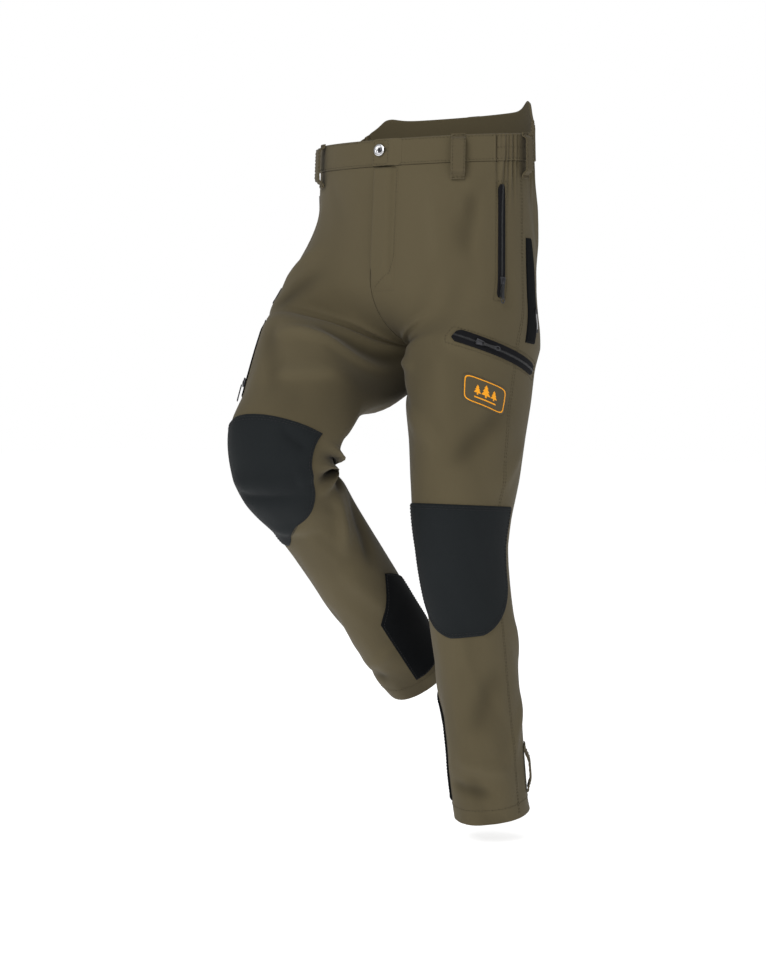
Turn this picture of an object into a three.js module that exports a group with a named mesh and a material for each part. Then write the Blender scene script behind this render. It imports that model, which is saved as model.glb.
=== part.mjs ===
import * as THREE from 'three';

// ---- Driving sizes, millimetres and degrees ----
// Trunk
const waistHalfWidth = 170, waistHalfDepth = 124;
const hipHalfWidth = 173, hipHalfDepth = 140, hipLevel = -215;
const waistTilt = 10;            // the back of the waist stands this much higher than the middle
const bandHeight = 40;           // waistband
const backRise = 38;             // extra height of the waistband over the small of the back
const riseStart = -205, crotchLevel = -305;
// Legs: level, centre x, centre y, half width, half depth
const legStations = [
  [-305, 88, 4, 88, 118],
  [-400, 90, 2, 80, 106],
  [-500, 94, 0, 72, 92],
  [-600, 97, 0, 62, 76],
  [-700, 100, 4, 58, 70],
  [-850, 103, 8, 54, 64],
  [-1005, 105, 10, 52, 60],
];
const hemLevel = -1005;
const kneePivotX = 95, kneePivotY = -20;
const hipPivotX = 90, hipPivotZ = -150;
const hipZoneDirection = [0.35, -0.25, -0.903];   // the hip bend runs from the groin down and outwards
const slim = {
  behind: { by: 0.56, from: -298, full: -382, ease: -458, end: -522 },
  infront: { by: 0.34, from: -480, full: -550, ease: -550, end: -980 },
};
const hipDraw = {
  outwards: 0.82, back: -0.57, span: 165,
  top: -95, full: -276, upperFrom: -231, upperEnd: -329, lowerEnd: -645, upperBy: 68, lowerBy: 17,
};
// Stored stance, and where each hip bend starts, how long it is and how far forward it turns
const stance = {
  left: { hip: 6, knee: 14, inward: 0, shinIn: 0, kneeLevel: -600, kneeHalf: 118, hipZone: 60, zoneLevel: -312, pivotY: 0 },
  right: { hip: 37, knee: 80, inward: 3, shinIn: 6, kneeLevel: -548, kneeHalf: 106, hipZone: 118, zoneLevel: -285, pivotY: -50 },
};
// Layers, measured outwards from the outer face of the shell fabric
const fabric = 2.0;
const patchLow = 0.7, patchHigh = 2.2, kneePatchLow = 2.6;
const bagThickness = 1.7, handBagTop = -2.9, leftBagTop = -3.8, rightBagTop = -5.35;
const insertLow = -15.0, insertHigh = -8.6, insertEdge = -3.7;
const sideGap = 0.2;             // half the gap between the two legs' shells
const joinGap = 0.25;            // half the gap between two panels
// Hardware
const zipBandWidth = 14, thighZipWidth = 18;
const sliderLength = 12, sliderWidth = 9, sliderHeight = 2.6, sliderLift = 2.9;
const pullerLength = 27, pullerWidth = 7, pullerThickness = 1.6;
// A puller lies over the end of its slider by pullerSeat, pullerGap above it
const pullerSeat = 1.3, pullerGap = 0.35;
const loopWidth = 20, loopGap = 7.2, loopThickness = 2.2, loopLength = 66;
const buttonRadius = 8.5;

const rad = Math.PI / 180;
const clamp = (t, a, b) => Math.min(b, Math.max(a, t));
const smooth = (t) => { const c = clamp(t, 0, 1); return c * c * (3 - 2 * c); };
const mix = (a, b, t) => a + (b - a) * t;

function legAt(z) {
  const s = legStations;
  if (z >= s[0][0]) return s[0].slice(1);
  for (let i = 0; i < s.length - 1; i++) {
    if (z >= s[i + 1][0]) {
      const t = (z - s[i][0]) / (s[i + 1][0] - s[i][0]);
      return [1, 2, 3, 4].map((k) => mix(s[i][k], s[i + 1][k], t));
    }
  }
  return s[s.length - 1].slice(1);
}

// Garment surface standing straight: u 0 front centre, 0.25 front, 0.5 side seam, 0.75 back, 1 back centre; v down from the waist
function straight(u, v) {
  const around = Math.PI * (u - 0.5);
  const z = -v + waistTilt * Math.sin(around) * (1 - smooth(v / 200));
  const tau = clamp((riseStart - z) / (riseStart - crotchLevel), 0, 1);
  const turn = tau * Math.PI / 2;
  const toLeg = 1 - Math.cos(turn);
  const near = Math.abs(2 * u - 1) ** 2;
  const zz = z < riseStart && z > crotchLevel
    ? z * (1 - near) + (riseStart + (crotchLevel - riseStart) * Math.sin(turn)) * near : z;
  const k = clamp(zz / hipLevel, 0, 1);
  const px = mix(waistHalfWidth, hipHalfWidth, k) * Math.cos(around);
  const py = mix(waistHalfDepth, hipHalfDepth, k) * Math.sin(around);
  const [cx, cy, a, b] = legAt(Math.min(zz, crotchLevel));
  const round = 2 * Math.PI * (u - 0.5);
  const lx = cx + a * Math.cos(round), ly = cy + b * Math.sin(round);
  return [mix(px, lx, toLeg), mix(py, ly, toLeg), zz];
}

function zoneDistance(p, side) {
  const [dx, dy, dz] = hipZoneDirection;
  return p[0] * dx + p[1] * dy + (p[2] - stance[side].zoneLevel) * dz;
}

// Level v at which the surface meets a plane of the hip bend
function zoneLine(side, u, distance) {
  let lo = 60, hi = 620;
  for (let i = 0; i < 40; i++) {
    const mid = (lo + hi) / 2;
    if (zoneDistance(straight(u, mid), side) < distance) lo = mid; else hi = mid;
  }
  return (lo + hi) / 2;
}

// Forward turn about a sideways axis
function pitch(p, py, pz, angle) {
  const y = p[1] - py, z = p[2] - pz, c = Math.cos(angle), s = Math.sin(angle);
  return [p[0], py + y * c + z * s, pz - y * s + z * c];
}

// Turn towards the other leg about a fore-and-aft axis
function lean(p, px, pz, angle) {
  const x = p[0] - px, z = p[2] - pz, c = Math.cos(angle), s = Math.sin(angle);
  return [px + x * c + z * s, p[1], pz - x * s + z * c];
}

// The right leg is flatter behind the thigh and in front of the knee and shin
function slimmed(p) {
  const { behind, infront } = slim;
  const [back, front] = [behind, infront].map((s) => s.by * smooth((s.from - p[2]) / (s.from - s.full))
    * smooth((p[2] - s.end) / (s.ease - s.end)));
  return [p[0], p[1] * (1 - (p[1] > 0 ? back : front)), p[2]];
}

// How far the raised thigh draws the cloth of its hip outwards and forwards
function drawnOut(p) {
  const d = hipDraw;
  const reach = (p[0] * d.outwards + p[1] * d.back) / d.span;
  const facing = smooth((reach + 0.31) / 1.36) * smooth(p[0] / 110);
  const grow = smooth((d.top - p[2]) / (d.top - d.full));
  const upper = smooth((p[2] - d.upperEnd) / (d.upperFrom - d.upperEnd));
  const lower = smooth((p[2] - d.lowerEnd) / (d.upperEnd - d.lowerEnd));
  return facing * grow * (d.upperBy * upper + d.lowerBy * lower * (1 - upper));
}

function bend(p, side) {
  const st = stance[side];
  // the middle seam stays put, so that the two sides meet in it
  const middle = (1 - smooth(p[0] / 40)) * (1 - smooth((crotchLevel - p[2]) / 100));
  const hip = smooth(zoneDistance(p, side) / st.hipZone) * (1 - middle);
  const knee = smooth((st.kneeLevel + st.kneeHalf - p[2]) / (2 * st.kneeHalf));
  let q = pitch(side === 'right' ? slimmed(p) : p, kneePivotY, st.kneeLevel, -knee * st.knee * rad);
  q = lean(q, kneePivotX, st.kneeLevel, knee * st.shinIn * rad);
  q = pitch(q, st.pivotY, hipPivotZ, hip * st.hip * rad);
  q = lean(q, hipPivotX, hipPivotZ, hip * st.inward * rad);
  const drawn = side === 'right' ? drawnOut(p) : 0;
  return [q[0] + sideGap + drawn * hipDraw.outwards, q[1] + drawn * hipDraw.back, q[2]];
}

const surface = (side, u, v) => bend(straight(u, v), side);

// Local axes on the surface: out, down the leg, around the leg
function axesAt(side, u, v) {
  const e = 1e-3, h = 0.5;
  const a = surface(side, u - e, v), b = surface(side, u + e, v);
  const c = surface(side, u, v - h), d = surface(side, u, v + h);
  const around = new THREE.Vector3(b[0] - a[0], b[1] - a[1], b[2] - a[2]).normalize();
  const down = new THREE.Vector3(d[0] - c[0], d[1] - c[1], d[2] - c[2]).normalize();
  const out = new THREE.Vector3().crossVectors(down, around).normalize();
  return { at: new THREE.Vector3(...surface(side, u, v)), out, down, around: new THREE.Vector3().crossVectors(out, down) };
}

function offsetPoint(side, u, v, off) {
  const f = axesAt(side, u, v);
  const p = f.at.clone().addScaledVector(f.out, off);
  if (side === 'right') p.x = -p.x;
  return p;
}

// ---- Closed bodies ----
function closedGeometry(points, faces) {
  let volume = 0;
  for (const [a, b, c] of faces) {
    volume += points[a].dot(new THREE.Vector3().crossVectors(points[b], points[c])) / 6;
  }
  const g = new THREE.BufferGeometry();
  g.setAttribute('position', new THREE.Float32BufferAttribute(points.flatMap((p) => [p.x, p.y, p.z]), 3));
  g.setIndex(faces.flatMap(([a, b, c]) => (volume < 0 ? [a, c, b] : [a, b, c])));
  g.computeVertexNormals();
  return g;
}

// A sheet with thickness between two layers; place(i, j, layer) gives its points
function sheet(nu, nv, place, wraps = false) {
  const cols = wraps ? nu : nu + 1;
  const points = [], faces = [];
  const id = (i, j, k) => k * cols * (nv + 1) + j * cols + (i % cols);
  for (let k = 0; k < 2; k++) for (let j = 0; j <= nv; j++) for (let i = 0; i < cols; i++) points.push(place(i / nu, j / nv, k));
  const quad = (a, b, c, d) => faces.push([a, b, c], [a, c, d]);
  for (let j = 0; j < nv; j++) for (let i = 0; i < nu; i++) {
    quad(id(i, j, 1), id(i + 1, j, 1), id(i + 1, j + 1, 1), id(i, j + 1, 1));
    quad(id(i, j, 0), id(i, j + 1, 0), id(i + 1, j + 1, 0), id(i + 1, j, 0));
  }
  for (let i = 0; i < nu; i++) {
    quad(id(i, 0, 0), id(i + 1, 0, 0), id(i + 1, 0, 1), id(i, 0, 1));
    quad(id(i, nv, 0), id(i, nv, 1), id(i + 1, nv, 1), id(i + 1, nv, 0));
  }
  if (!wraps) for (let j = 0; j < nv; j++) {
    quad(id(0, j, 0), id(0, j, 1), id(0, j + 1, 1), id(0, j + 1, 0));
    quad(id(nu, j, 0), id(nu, j + 1, 0), id(nu, j + 1, 1), id(nu, j, 1));
  }
  return closedGeometry(points, faces);
}

// A piece lying on the garment: edges u0(t), u1(t) at height t; ends v0(u), v1(u)
function panel(side, { u0, u1, v0, v1, nu, nv, low, high, wraps = false }) {
  const f = (x, t) => (typeof x === 'function' ? x(t) : x);
  return sheet(nu, nv, (a, b, k) => {
    const u = mix(f(u0, b), f(u1, b), a);
    const v = mix(f(v0, u), f(v1, u), b);
    return offsetPoint(side, u, v, f(k ? high : low, u));
  }, wraps);
}

// A flat outline raised along the local axes: x around, y down, z out
function raised(side, u, v, lift, outline, holes, height, angle = 0) {
  const shape = new THREE.Shape(outline.map(([x, y]) => new THREE.Vector2(x, y)));
  for (const h of holes) shape.holes.push(new THREE.Path(h.map(([x, y]) => new THREE.Vector2(x, y))));
  const g = new THREE.ExtrudeGeometry(shape, { depth: height, bevelEnabled: false, curveSegments: 6 });
  return placed(g, side, u, v, lift, angle);
}

function placed(g, side, u, v, lift, angle = 0) {
  const f = axesAt(side, u, v);
  const c = Math.cos(angle), s = Math.sin(angle);
  const x = f.around.clone().multiplyScalar(c).addScaledVector(f.down, s);
  const y = f.down.clone().multiplyScalar(c).addScaledVector(f.around, -s);
  const flat = g.index ? g.toNonIndexed() : g;
  const pos = flat.getAttribute('position');
  const points = [], faces = [], seen = new Map();
  const idOf = (p) => {
    const key = [p.x, p.y, p.z].map((n) => Math.round(n * 1e4)).join();
    if (!seen.has(key)) { seen.set(key, points.length); points.push(p); }
    return seen.get(key);
  };
  for (let i = 0; i < pos.count; i += 3) {
    const tri = [0, 1, 2].map((n) => {
      const p = f.at.clone().addScaledVector(x, pos.getX(i + n)).addScaledVector(y, pos.getY(i + n))
        .addScaledVector(f.out, pos.getZ(i + n) + lift);
      if (side === 'right') p.x = -p.x;
      return idOf(p);
    });
    if (new Set(tri).size === 3) faces.push(tri);
  }
  return closedGeometry(points, faces);
}

const ring = (r, n, cx = 0, cy = 0) => Array.from({ length: n }, (_, i) => [cx + r * Math.cos(2 * Math.PI * i / n), cy + r * Math.sin(2 * Math.PI * i / n)]);

// A profile of heights down the garment (x) and out of it (y), given a width around the body
function strip(side, u, v, profile, width, parts = 2) {
  const e = 1e-3, a = surface(side, u - e, v + 20), b = surface(side, u + e, v + 20);
  const perU = Math.hypot(b[0] - a[0], b[1] - a[1], b[2] - a[2]) / (2 * e);
  const n = profile.length, points = [], faces = [], last = n * parts;
  for (let k = 0; k <= parts; k++) for (const [x, y] of profile) points.push(offsetPoint(side, u + width * (k / parts - 0.5) / perU, v + x, y));
  const flat = THREE.ShapeUtils.triangulateShape(profile.map(([x, y]) => new THREE.Vector2(x, y)), []);
  for (const [i, j, k] of flat) faces.push([i, j, k], [i + last, k + last, j + last]);
  const turnsLeft = THREE.ShapeUtils.area(profile.map(([x, y]) => new THREE.Vector2(x, y))) > 0;
  for (let k = 0; k < parts; k++) for (let i = 0; i < n; i++) {
    const a = k * n + i, b = k * n + (i + 1) % n;
    if (turnsLeft) faces.push([a, a + n, b + n], [a, b + n, b]); else faces.push([a, b, b + n], [a, b + n, a + n]);
  }
  return closedGeometry(points, faces);
}

const sliderOutline = [[-sliderWidth / 2, -sliderLength / 2], [sliderWidth / 2, -sliderLength / 2], [sliderWidth * 0.35, sliderLength / 2], [-sliderWidth * 0.35, sliderLength / 2]];

// A zip puller: a flat tag with a hole near its wide end, hinged at its narrow end
function puller(side, u, v, angle) {
  const w = pullerWidth / 2, l = pullerLength;
  const outline = [[-w * 0.6, 0], [w * 0.6, 0], [w, l * 0.55], [w, l * 0.85], [w / 2, l], [-w / 2, l], [-w, l * 0.85], [-w, l * 0.55]];
  const shape = new THREE.Shape(outline.map(([x, y]) => new THREE.Vector2(x, y)));
  shape.holes.push(new THREE.Path(ring(2.1, 8, 0, l * 0.72).reverse().map(([x, y]) => new THREE.Vector2(x, y))));
  const g = new THREE.ExtrudeGeometry(shape, { depth: pullerThickness, bevelEnabled: false });
  g.applyMatrix4(new THREE.Matrix4().makeTranslation(0, sliderLength / 2 - pullerSeat, 0));
  return placed(g, side, u, v, sliderLift + sliderHeight + pullerGap, angle);
}

// ---- Pieces ----
const colours = {
  olive: 0x5c543e, oliveDark: 0x4e4835, patch: 0x24272a, black: 0x141416, metal: 0xb9bcc0, orange: 0xe8961e,
  lining: 0x3b3a33, fibre: 0xc9c4b4, elastic: 0x554d39, label: 0x2b2b2b,
};
const group = new THREE.Group();
group.name = 'chainsaw_trousers';
function add(name, geometry, colour) {
  const mesh = new THREE.Mesh(geometry, new THREE.MeshStandardMaterial({ color: colours[colour], roughness: colour === 'metal' ? 0.35 : 0.9, metalness: colour === 'metal' ? 1 : 0 }));
  mesh.name = name;
  group.add(mesh);
}

// Levels and places around the body
const tabFrom = -0.005, tabTo = 0.0755;      // waist tab, in u
const elasticFrom = 0.37, elasticTo = 0.66;
const bandTop = (u) => -backRise * smooth((u - 0.56) / 0.19);
const handZip = { u: 0.392, v0: 74, v1: 236, sliderV: 214 };
const thighZip = { u0: 0.318, u1: 0.565, v0: 300, v1: 337, sliderU: 0.385 };
const rightThighZip = { u: 0.375, v0: 300, v1: 446, sliderV: 424 };
const ventZip = { u: 0.775, left: [352, 470, 456], right: [338, 440, 432] };
const sideU = 0.5;

function kneeEdges(front, half) { // left edge of the knee patch in u, by height
  return (t) => front - (half - 0.015 * t) * (t < 0.62 ? 1 : Math.sqrt(Math.max(0, 1 - ((t - 0.62) / 0.40) ** 2)));
}

for (const side of ['left', 'right']) {
  const zone = stance[side].hipZone;
  const zoneTop = (u) => zoneLine(side, u, 0), zoneEnd = (u) => zoneLine(side, u, zone);
  const { kneeLevel, kneeHalf } = stance[side];
  const kneeTop = -(kneeLevel + kneeHalf), kneeEnd = -(kneeLevel - kneeHalf);
  const isLeft = side === 'left';

  // Waistband
  add(`waistband_front_${side}`, panel(side, { u0: isLeft ? tabTo + 0.001 : 0.0006, u1: elasticFrom - 0.0008, v0: 0, v1: bandHeight, nu: 9, nv: 2, low: -fabric, high: 1.6 }), 'olive');
  add(`waistband_elastic_${side}`, panel(side, { u0: elasticFrom, u1: elasticTo, v0: bandTop, v1: bandHeight, nu: 8, nv: 2, low: -fabric, high: 1.6 }), 'elastic');

  // Trunk panels
  add(`hip_front_${side}`, panel(side, { u0: 0.0006, u1: sideU - 0.0006, v0: bandHeight + 0.4, v1: (u) => zoneTop(u) - 1.5, nu: 12, nv: 6, low: -fabric, high: 0 }), 'olive');
  add(`hip_back_${side}`, panel(side, { u0: sideU + 0.0006, u1: 0.9994, v0: bandHeight + 0.4, v1: (u) => zoneTop(u) - 1.5, nu: 12, nv: 6, low: -fabric, high: 0 }), 'olive');

  // Leg tubes
  const tube = (v0, v1, nv) => panel(side, { u0: 0, u1: 1, v0, v1, nu: 24, nv, low: -fabric, high: 0, wraps: true });
  add(`hip_bend_${side}`, tube((u) => zoneTop(u) + joinGap, (u) => zoneEnd(u) - joinGap, isLeft ? 5 : 13), 'olive');
  add(`thigh_${side}`, tube((u) => zoneEnd(u) + joinGap, () => kneeTop - joinGap, 4), 'olive');
  add(`knee_bend_${side}`, tube(() => kneeTop + joinGap, () => kneeEnd - joinGap, isLeft ? 8 : 12), 'olive');
  add(`shin_${side}`, tube(() => kneeEnd + joinGap, () => -hemLevel, 4), 'olive');

  // Black side stretch panel
  add(`side_panel_${side}`, panel(side, { u0: 0.508, u1: (t) => 0.545 + 0.03 * Math.sin(Math.PI * t), v0: 150, v1: 300, nu: 3, nv: isLeft ? 8 : 12, low: patchLow, high: patchHigh }), 'black');

  // Knee and ankle patches
  const kneeMid = isLeft ? 0.335 : 0.275;
  const kneeEdge = kneeEdges(kneeMid, isLeft ? 0.215 : 0.24);
  add(`knee_patch_${side}`, panel(side, {
    u0: kneeEdge, u1: (t) => 2 * kneeMid - kneeEdge(t),
    v0: isLeft ? 538 : 490, v1: isLeft ? 722 : 668, nu: 12, nv: isLeft ? 11 : 14, low: kneePatchLow, high: kneePatchLow + 1.5 }), 'patch');
  add(`ankle_patch_${side}`, panel(side, { u0: 0.86, u1: 1.14, v0: (u) => 790 + 60 * Math.abs(u - 1) / 0.14, v1: 975, nu: 6, nv: 4, low: patchLow + 0.5, high: patchHigh + 0.3 }), 'black');

  // Hidden layers; the insert's two long edges are sewn to the shell
  const sewnEdge = (u) => mix(insertEdge, insertHigh, smooth(Math.min(u - 0.03, 0.62 - u) / 0.07));
  add(`hand_pocket_bag_${side}`, panel(side, { u0: 0.17, u1: 0.425, v0: 62, v1: 205, nu: 6, nv: isLeft ? 2 : 7, low: handBagTop - bagThickness, high: handBagTop }), 'lining');
  add(`cut_insert_${side}`, panel(side, {
    u0: 0.03, u1: 0.62, v0: (u) => Math.max(zoneEnd(u), 325) + 8, v1: 955, nu: 12, nv: isLeft ? 12 : 26,
    low: (u) => sewnEdge(u) + insertLow - insertHigh, high: sewnEdge }), 'fibre');

  // Hand pocket zip
  const halfBand = zipBandWidth / 2 / 530;
  add(`hand_zip_${side}`, panel(side, { u0: handZip.u - halfBand, u1: handZip.u + halfBand, v0: handZip.v0, v1: handZip.v1, nu: 1, nv: 12, low: patchLow, high: patchHigh }), 'black');
  add(`hand_slider_${side}`, raised(side, handZip.u, handZip.sliderV, sliderLift, sliderOutline, [], sliderHeight), 'metal');
  add(`hand_puller_${side}`, puller(side, handZip.u, handZip.sliderV, 0), 'metal');

  // Rear vent zip behind the thigh
  add(`vent_zip_${side}`, panel(side, { u0: ventZip.u - 0.012, u1: ventZip.u + 0.012, v0: ventZip[side][0], v1: ventZip[side][1], nu: 1, nv: isLeft ? 7 : 12, low: patchLow, high: patchHigh }), 'black');
  add(`vent_slider_${side}`, raised(side, ventZip.u, ventZip[side][2], sliderLift - 0.4, sliderOutline, [], sliderHeight, Math.PI), 'metal');

  // Hem tab, bowed away from the leg and fixed at its upper end
  const tab = [[0, 0.6], [8, 0.6], [24, 6], [52, 6], [66, 1.2], [70, 1.2], [70, 3.4], [67, 3.4], [53, 8.2], [23, 8.2], [7, 2.8], [0, 2.8]];
  add(`hem_tab_${side}`, strip(side, 0.60, 905, tab, 26, 4), 'olive');
}

// Waistband over the small of the back
add('waistband_back', sheet(12, 2, (a, b, k) => {
  const left = a < 0.5;
  const u = left ? mix(elasticTo + 0.0008, 1, a * 2) : mix(1, elasticTo + 0.0008, a * 2 - 1);
  const p = offsetPoint('left', u, mix(bandTop(u), bandHeight, b), k ? 1.6 : -fabric);
  if (Math.abs(u - 1) < 1e-9) p.x = 0;
  if (!left) p.x = -p.x;
  return p;
}), 'olive');

// Waist tab with its buttonhole, over the right end of the waistband
const tabOffsets = [2.3, 4.5];
add('waist_tab', (() => {
  // outline in u and v, with the buttonhole as a slot; three bands of quads around it
  const us = [tabFrom, 0.004, 0.036, 0.0555, tabTo];
  const vs = [0, 9, 14.2, 19.4, 40];
  const points = [], faces = [], ids = new Map();
  const id = (i, j, k) => {
    const key = `${i},${j},${k}`;
    if (!ids.has(key)) { ids.set(key, points.length); points.push(offsetPoint('left', us[i], vs[j], tabOffsets[k])); }
    return ids.get(key);
  };
  const open = (i, j) => i === 1 && j === 2;
  const inside = (i, j) => i >= 0 && j >= 0 && i < us.length - 1 && j < vs.length - 1 && !open(i, j);
  for (let j = 0; j < vs.length - 1; j++) for (let i = 0; i < us.length - 1; i++) {
    if (!inside(i, j)) continue;
    const q = (a, b, c, d) => faces.push([a, b, c], [a, c, d]);
    q(id(i, j, 1), id(i + 1, j, 1), id(i + 1, j + 1, 1), id(i, j + 1, 1));
    q(id(i, j, 0), id(i, j + 1, 0), id(i + 1, j + 1, 0), id(i + 1, j, 0));
    if (!inside(i, j - 1)) q(id(i, j, 0), id(i + 1, j, 0), id(i + 1, j, 1), id(i, j, 1));
    if (!inside(i, j + 1)) q(id(i, j + 1, 0), id(i, j + 1, 1), id(i + 1, j + 1, 1), id(i + 1, j + 1, 0));
    if (!inside(i - 1, j)) q(id(i, j, 0), id(i, j, 1), id(i, j + 1, 1), id(i, j + 1, 0));
    if (!inside(i + 1, j)) q(id(i + 1, j, 0), id(i + 1, j + 1, 0), id(i + 1, j + 1, 1), id(i + 1, j, 1));
  }
  return closedGeometry(points, faces);
})(), 'olive');

// Button: a shank through the buttonhole and a ringed head
add('waist_button', (() => {
  const profile = [[0, 1.75], [2.0, 1.75], [2.0, 5.4], [buttonRadius - 0.6, 5.4], [buttonRadius, 6.2], [buttonRadius - 0.4, 7.6], [buttonRadius - 2, 8.4], [4.4, 8.0], [3.6, 6.6], [0, 6.6]];
  const g = new THREE.LatheGeometry(profile.map(([x, y]) => new THREE.Vector2(x, y)), 20);
  g.applyMatrix4(new THREE.Matrix4().set(1, 0, 0, 0, 0, 0, 1, 0, 0, 1, 0, 0, 0, 0, 0, 1));
  return placed(g, 'left', 0.02, 16.8, 0);
})(), 'metal');

// Left end of the waistband under the tab
add('waistband_end', panel('left', { u0: 0.0006, u1: tabTo, v0: 0, v1: bandHeight, nu: 2, nv: 1, low: -fabric, high: 1.6 }), 'olive');

// Fly
const flyRise = (u) => 0.8 + 4.6 * smooth((0.070 - u) / 0.028);
add('fly_flap', panel('left', { u0: 0.006, u1: 0.076, v0: bandHeight + 3, v1: 222, nu: 5, nv: 8, low: flyRise, high: (u) => flyRise(u) + 1.8 }), 'olive');
add('fly_zip', panel('left', { u0: 0.009, u1: 0.035, v0: bandHeight + 4, v1: 206, nu: 2, nv: 8, low: 0.5, high: 1.5 }), 'black');
add('fly_slider', raised('left', 0.022, 52, 1.9, [[-3.5, -5], [3.5, -5], [2.6, 5], [-2.6, 5]], [], 2.6), 'metal');

// Belt loops
const loopProfile = (() => {
  const g = loopGap, t = loopThickness, n = loopLength, b = 2.5;
  return [[0, b], [5, b], [9, b + g], [n - 11, b + g], [n - 6, b], [n, b], [n, b + t], [n - 5, b + t], [n - 10, b + g + t], [8, b + g + t], [4, b + t], [0, b + t]];
})();
const loops = [['belt_loop_front_left', 'left', 0.245, 0], ['belt_loop_front_right', 'right', 0.245, 0], ['belt_loop_side_left', 'left', 0.5, 0], ['belt_loop_side_right', 'right', 0.5, 0]];
for (const [name, side, u, v] of loops) add(name, strip(side, u, v - 1, loopProfile, loopWidth), 'oliveDark');
add('belt_loop_back', (() => {
  const g = strip('left', 1.0, -backRise - 1, loopProfile, loopWidth);
  g.translate(-sideGap, 0, 0);
  return g;
})(), 'oliveDark');

// Side label
add('side_label', raised('left', 0.555, 268, patchHigh + 0.4, [[-5, -17], [5, -17], [5, 17], [-5, 17]], [], 1.0), 'label');

// Left thigh pocket: a zip along an arc, a bag and a badge
add('thigh_pocket_bag_left', panel('left', { u0: 0.25, u1: 0.47, v0: 318, v1: 450, nu: 6, nv: 2, low: leftBagTop - bagThickness, high: leftBagTop }), 'lining');
const arcV = (u) => mix(thighZip.v0, thighZip.v1, (u - thighZip.u0) / (thighZip.u1 - thighZip.u0));
add('thigh_zip_left', panel('left', { u0: thighZip.u0, u1: thighZip.u1, v0: (u) => arcV(u) - thighZipWidth / 2, v1: (u) => arcV(u) + thighZipWidth / 2, nu: 16, nv: 3, low: patchLow + 0.4, high: patchHigh + 0.1 }), 'black');
const arcAngle = Math.atan2(thighZip.v1 - thighZip.v0, 150) - Math.PI / 2;
add('thigh_slider_left', raised('left', thighZip.sliderU, arcV(thighZip.sliderU), sliderLift, sliderOutline, [], sliderHeight, arcAngle), 'metal');
add('thigh_puller_left', puller('left', thighZip.sliderU, arcV(thighZip.sliderU), arcAngle), 'metal');
add('badge', panel('left', { u0: 0.352, u1: 0.468, v0: (u) => 352 + 18 * (u - 0.352) / 0.116, v1: (u) => 392 + 18 * (u - 0.352) / 0.116, nu: 5, nv: 1, low: patchLow, high: 1.9 }), 'orange');

// Right thigh pocket: a straight zip down the side of the thigh, and a bag
add('thigh_pocket_bag_right', panel('right', { u0: 0.22, u1: 0.46, v0: 360, v1: 458, nu: 6, nv: 5, low: rightBagTop - bagThickness, high: rightBagTop }), 'lining');
add('thigh_zip_right', panel('right', { u0: rightThighZip.u - 0.014, u1: rightThighZip.u + 0.014, v0: rightThighZip.v0, v1: rightThighZip.v1, nu: 1, nv: 9, low: patchLow + 0.6, high: patchHigh + 0.2 }), 'black');
add('thigh_slider_right', raised('right', rightThighZip.u, rightThighZip.sliderV, sliderLift, sliderOutline, [], sliderHeight, 0), 'metal');
add('thigh_puller_right', puller('right', rightThighZip.u, rightThighZip.sliderV, 0), 'metal');

export default group;
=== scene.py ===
import bpy
import bmesh
import math
import numpy as np
from mathutils import Vector, Matrix


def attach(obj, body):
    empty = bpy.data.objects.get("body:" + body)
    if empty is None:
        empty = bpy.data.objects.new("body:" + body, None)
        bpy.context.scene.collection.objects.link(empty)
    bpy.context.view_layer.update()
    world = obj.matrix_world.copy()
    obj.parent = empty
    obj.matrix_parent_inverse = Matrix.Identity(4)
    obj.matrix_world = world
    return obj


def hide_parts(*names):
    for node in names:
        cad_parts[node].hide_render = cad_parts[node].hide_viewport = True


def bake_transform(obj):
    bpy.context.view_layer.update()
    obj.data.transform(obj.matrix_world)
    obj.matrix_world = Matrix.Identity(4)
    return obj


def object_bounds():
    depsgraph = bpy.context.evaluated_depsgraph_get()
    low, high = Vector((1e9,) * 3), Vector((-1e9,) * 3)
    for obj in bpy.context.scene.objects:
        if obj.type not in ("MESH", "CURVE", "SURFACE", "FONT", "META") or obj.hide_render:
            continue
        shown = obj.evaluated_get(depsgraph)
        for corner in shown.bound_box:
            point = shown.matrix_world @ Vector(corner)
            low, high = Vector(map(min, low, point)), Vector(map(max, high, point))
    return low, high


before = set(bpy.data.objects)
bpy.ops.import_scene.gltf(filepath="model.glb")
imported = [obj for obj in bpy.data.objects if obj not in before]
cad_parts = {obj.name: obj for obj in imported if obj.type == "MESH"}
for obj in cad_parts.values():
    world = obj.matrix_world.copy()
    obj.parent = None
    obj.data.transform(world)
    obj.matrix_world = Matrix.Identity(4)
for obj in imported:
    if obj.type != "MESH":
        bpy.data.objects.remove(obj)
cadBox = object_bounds()
print("stage: frame loaded")

mm = 0.001

# sizes of the garment, in millimetres and degrees
trunk = {
    "waistHalfWidth": 170, "waistHalfDepth": 124, "hipHalfWidth": 173, "hipHalfDepth": 140, "hipLevel": -215,
    "tilt": 10, "bandHeight": 40, "backRise": 38, "riseStart": -205, "crotchLevel": -305,
}
legStations = np.array([
    [-305, 88, 4, 88, 118], [-400, 90, 2, 80, 106], [-500, 94, 0, 72, 92], [-600, 97, 0, 62, 76],
    [-700, 100, 4, 58, 70], [-850, 103, 8, 54, 64], [-1005, 105, 10, 52, 60]], float)
hipBend = {"x": 90, "z": -150, "direction": (0.35, -0.25, -0.903)}
kneeAt = {"x": 95, "y": -20}
slim = {
    "behind": {"by": 0.56, "from": -298, "full": -382, "ease": -458, "end": -522},
    "infront": {"by": 0.34, "from": -480, "full": -550, "ease": -550, "end": -980},
}
hipDraw = {
    "outwards": 0.82, "back": -0.57, "span": 165, "top": -95, "full": -276,
    "upperFrom": -231, "upperEnd": -329, "lowerEnd": -645, "upperBy": 68, "lowerBy": 17,
}
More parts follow.
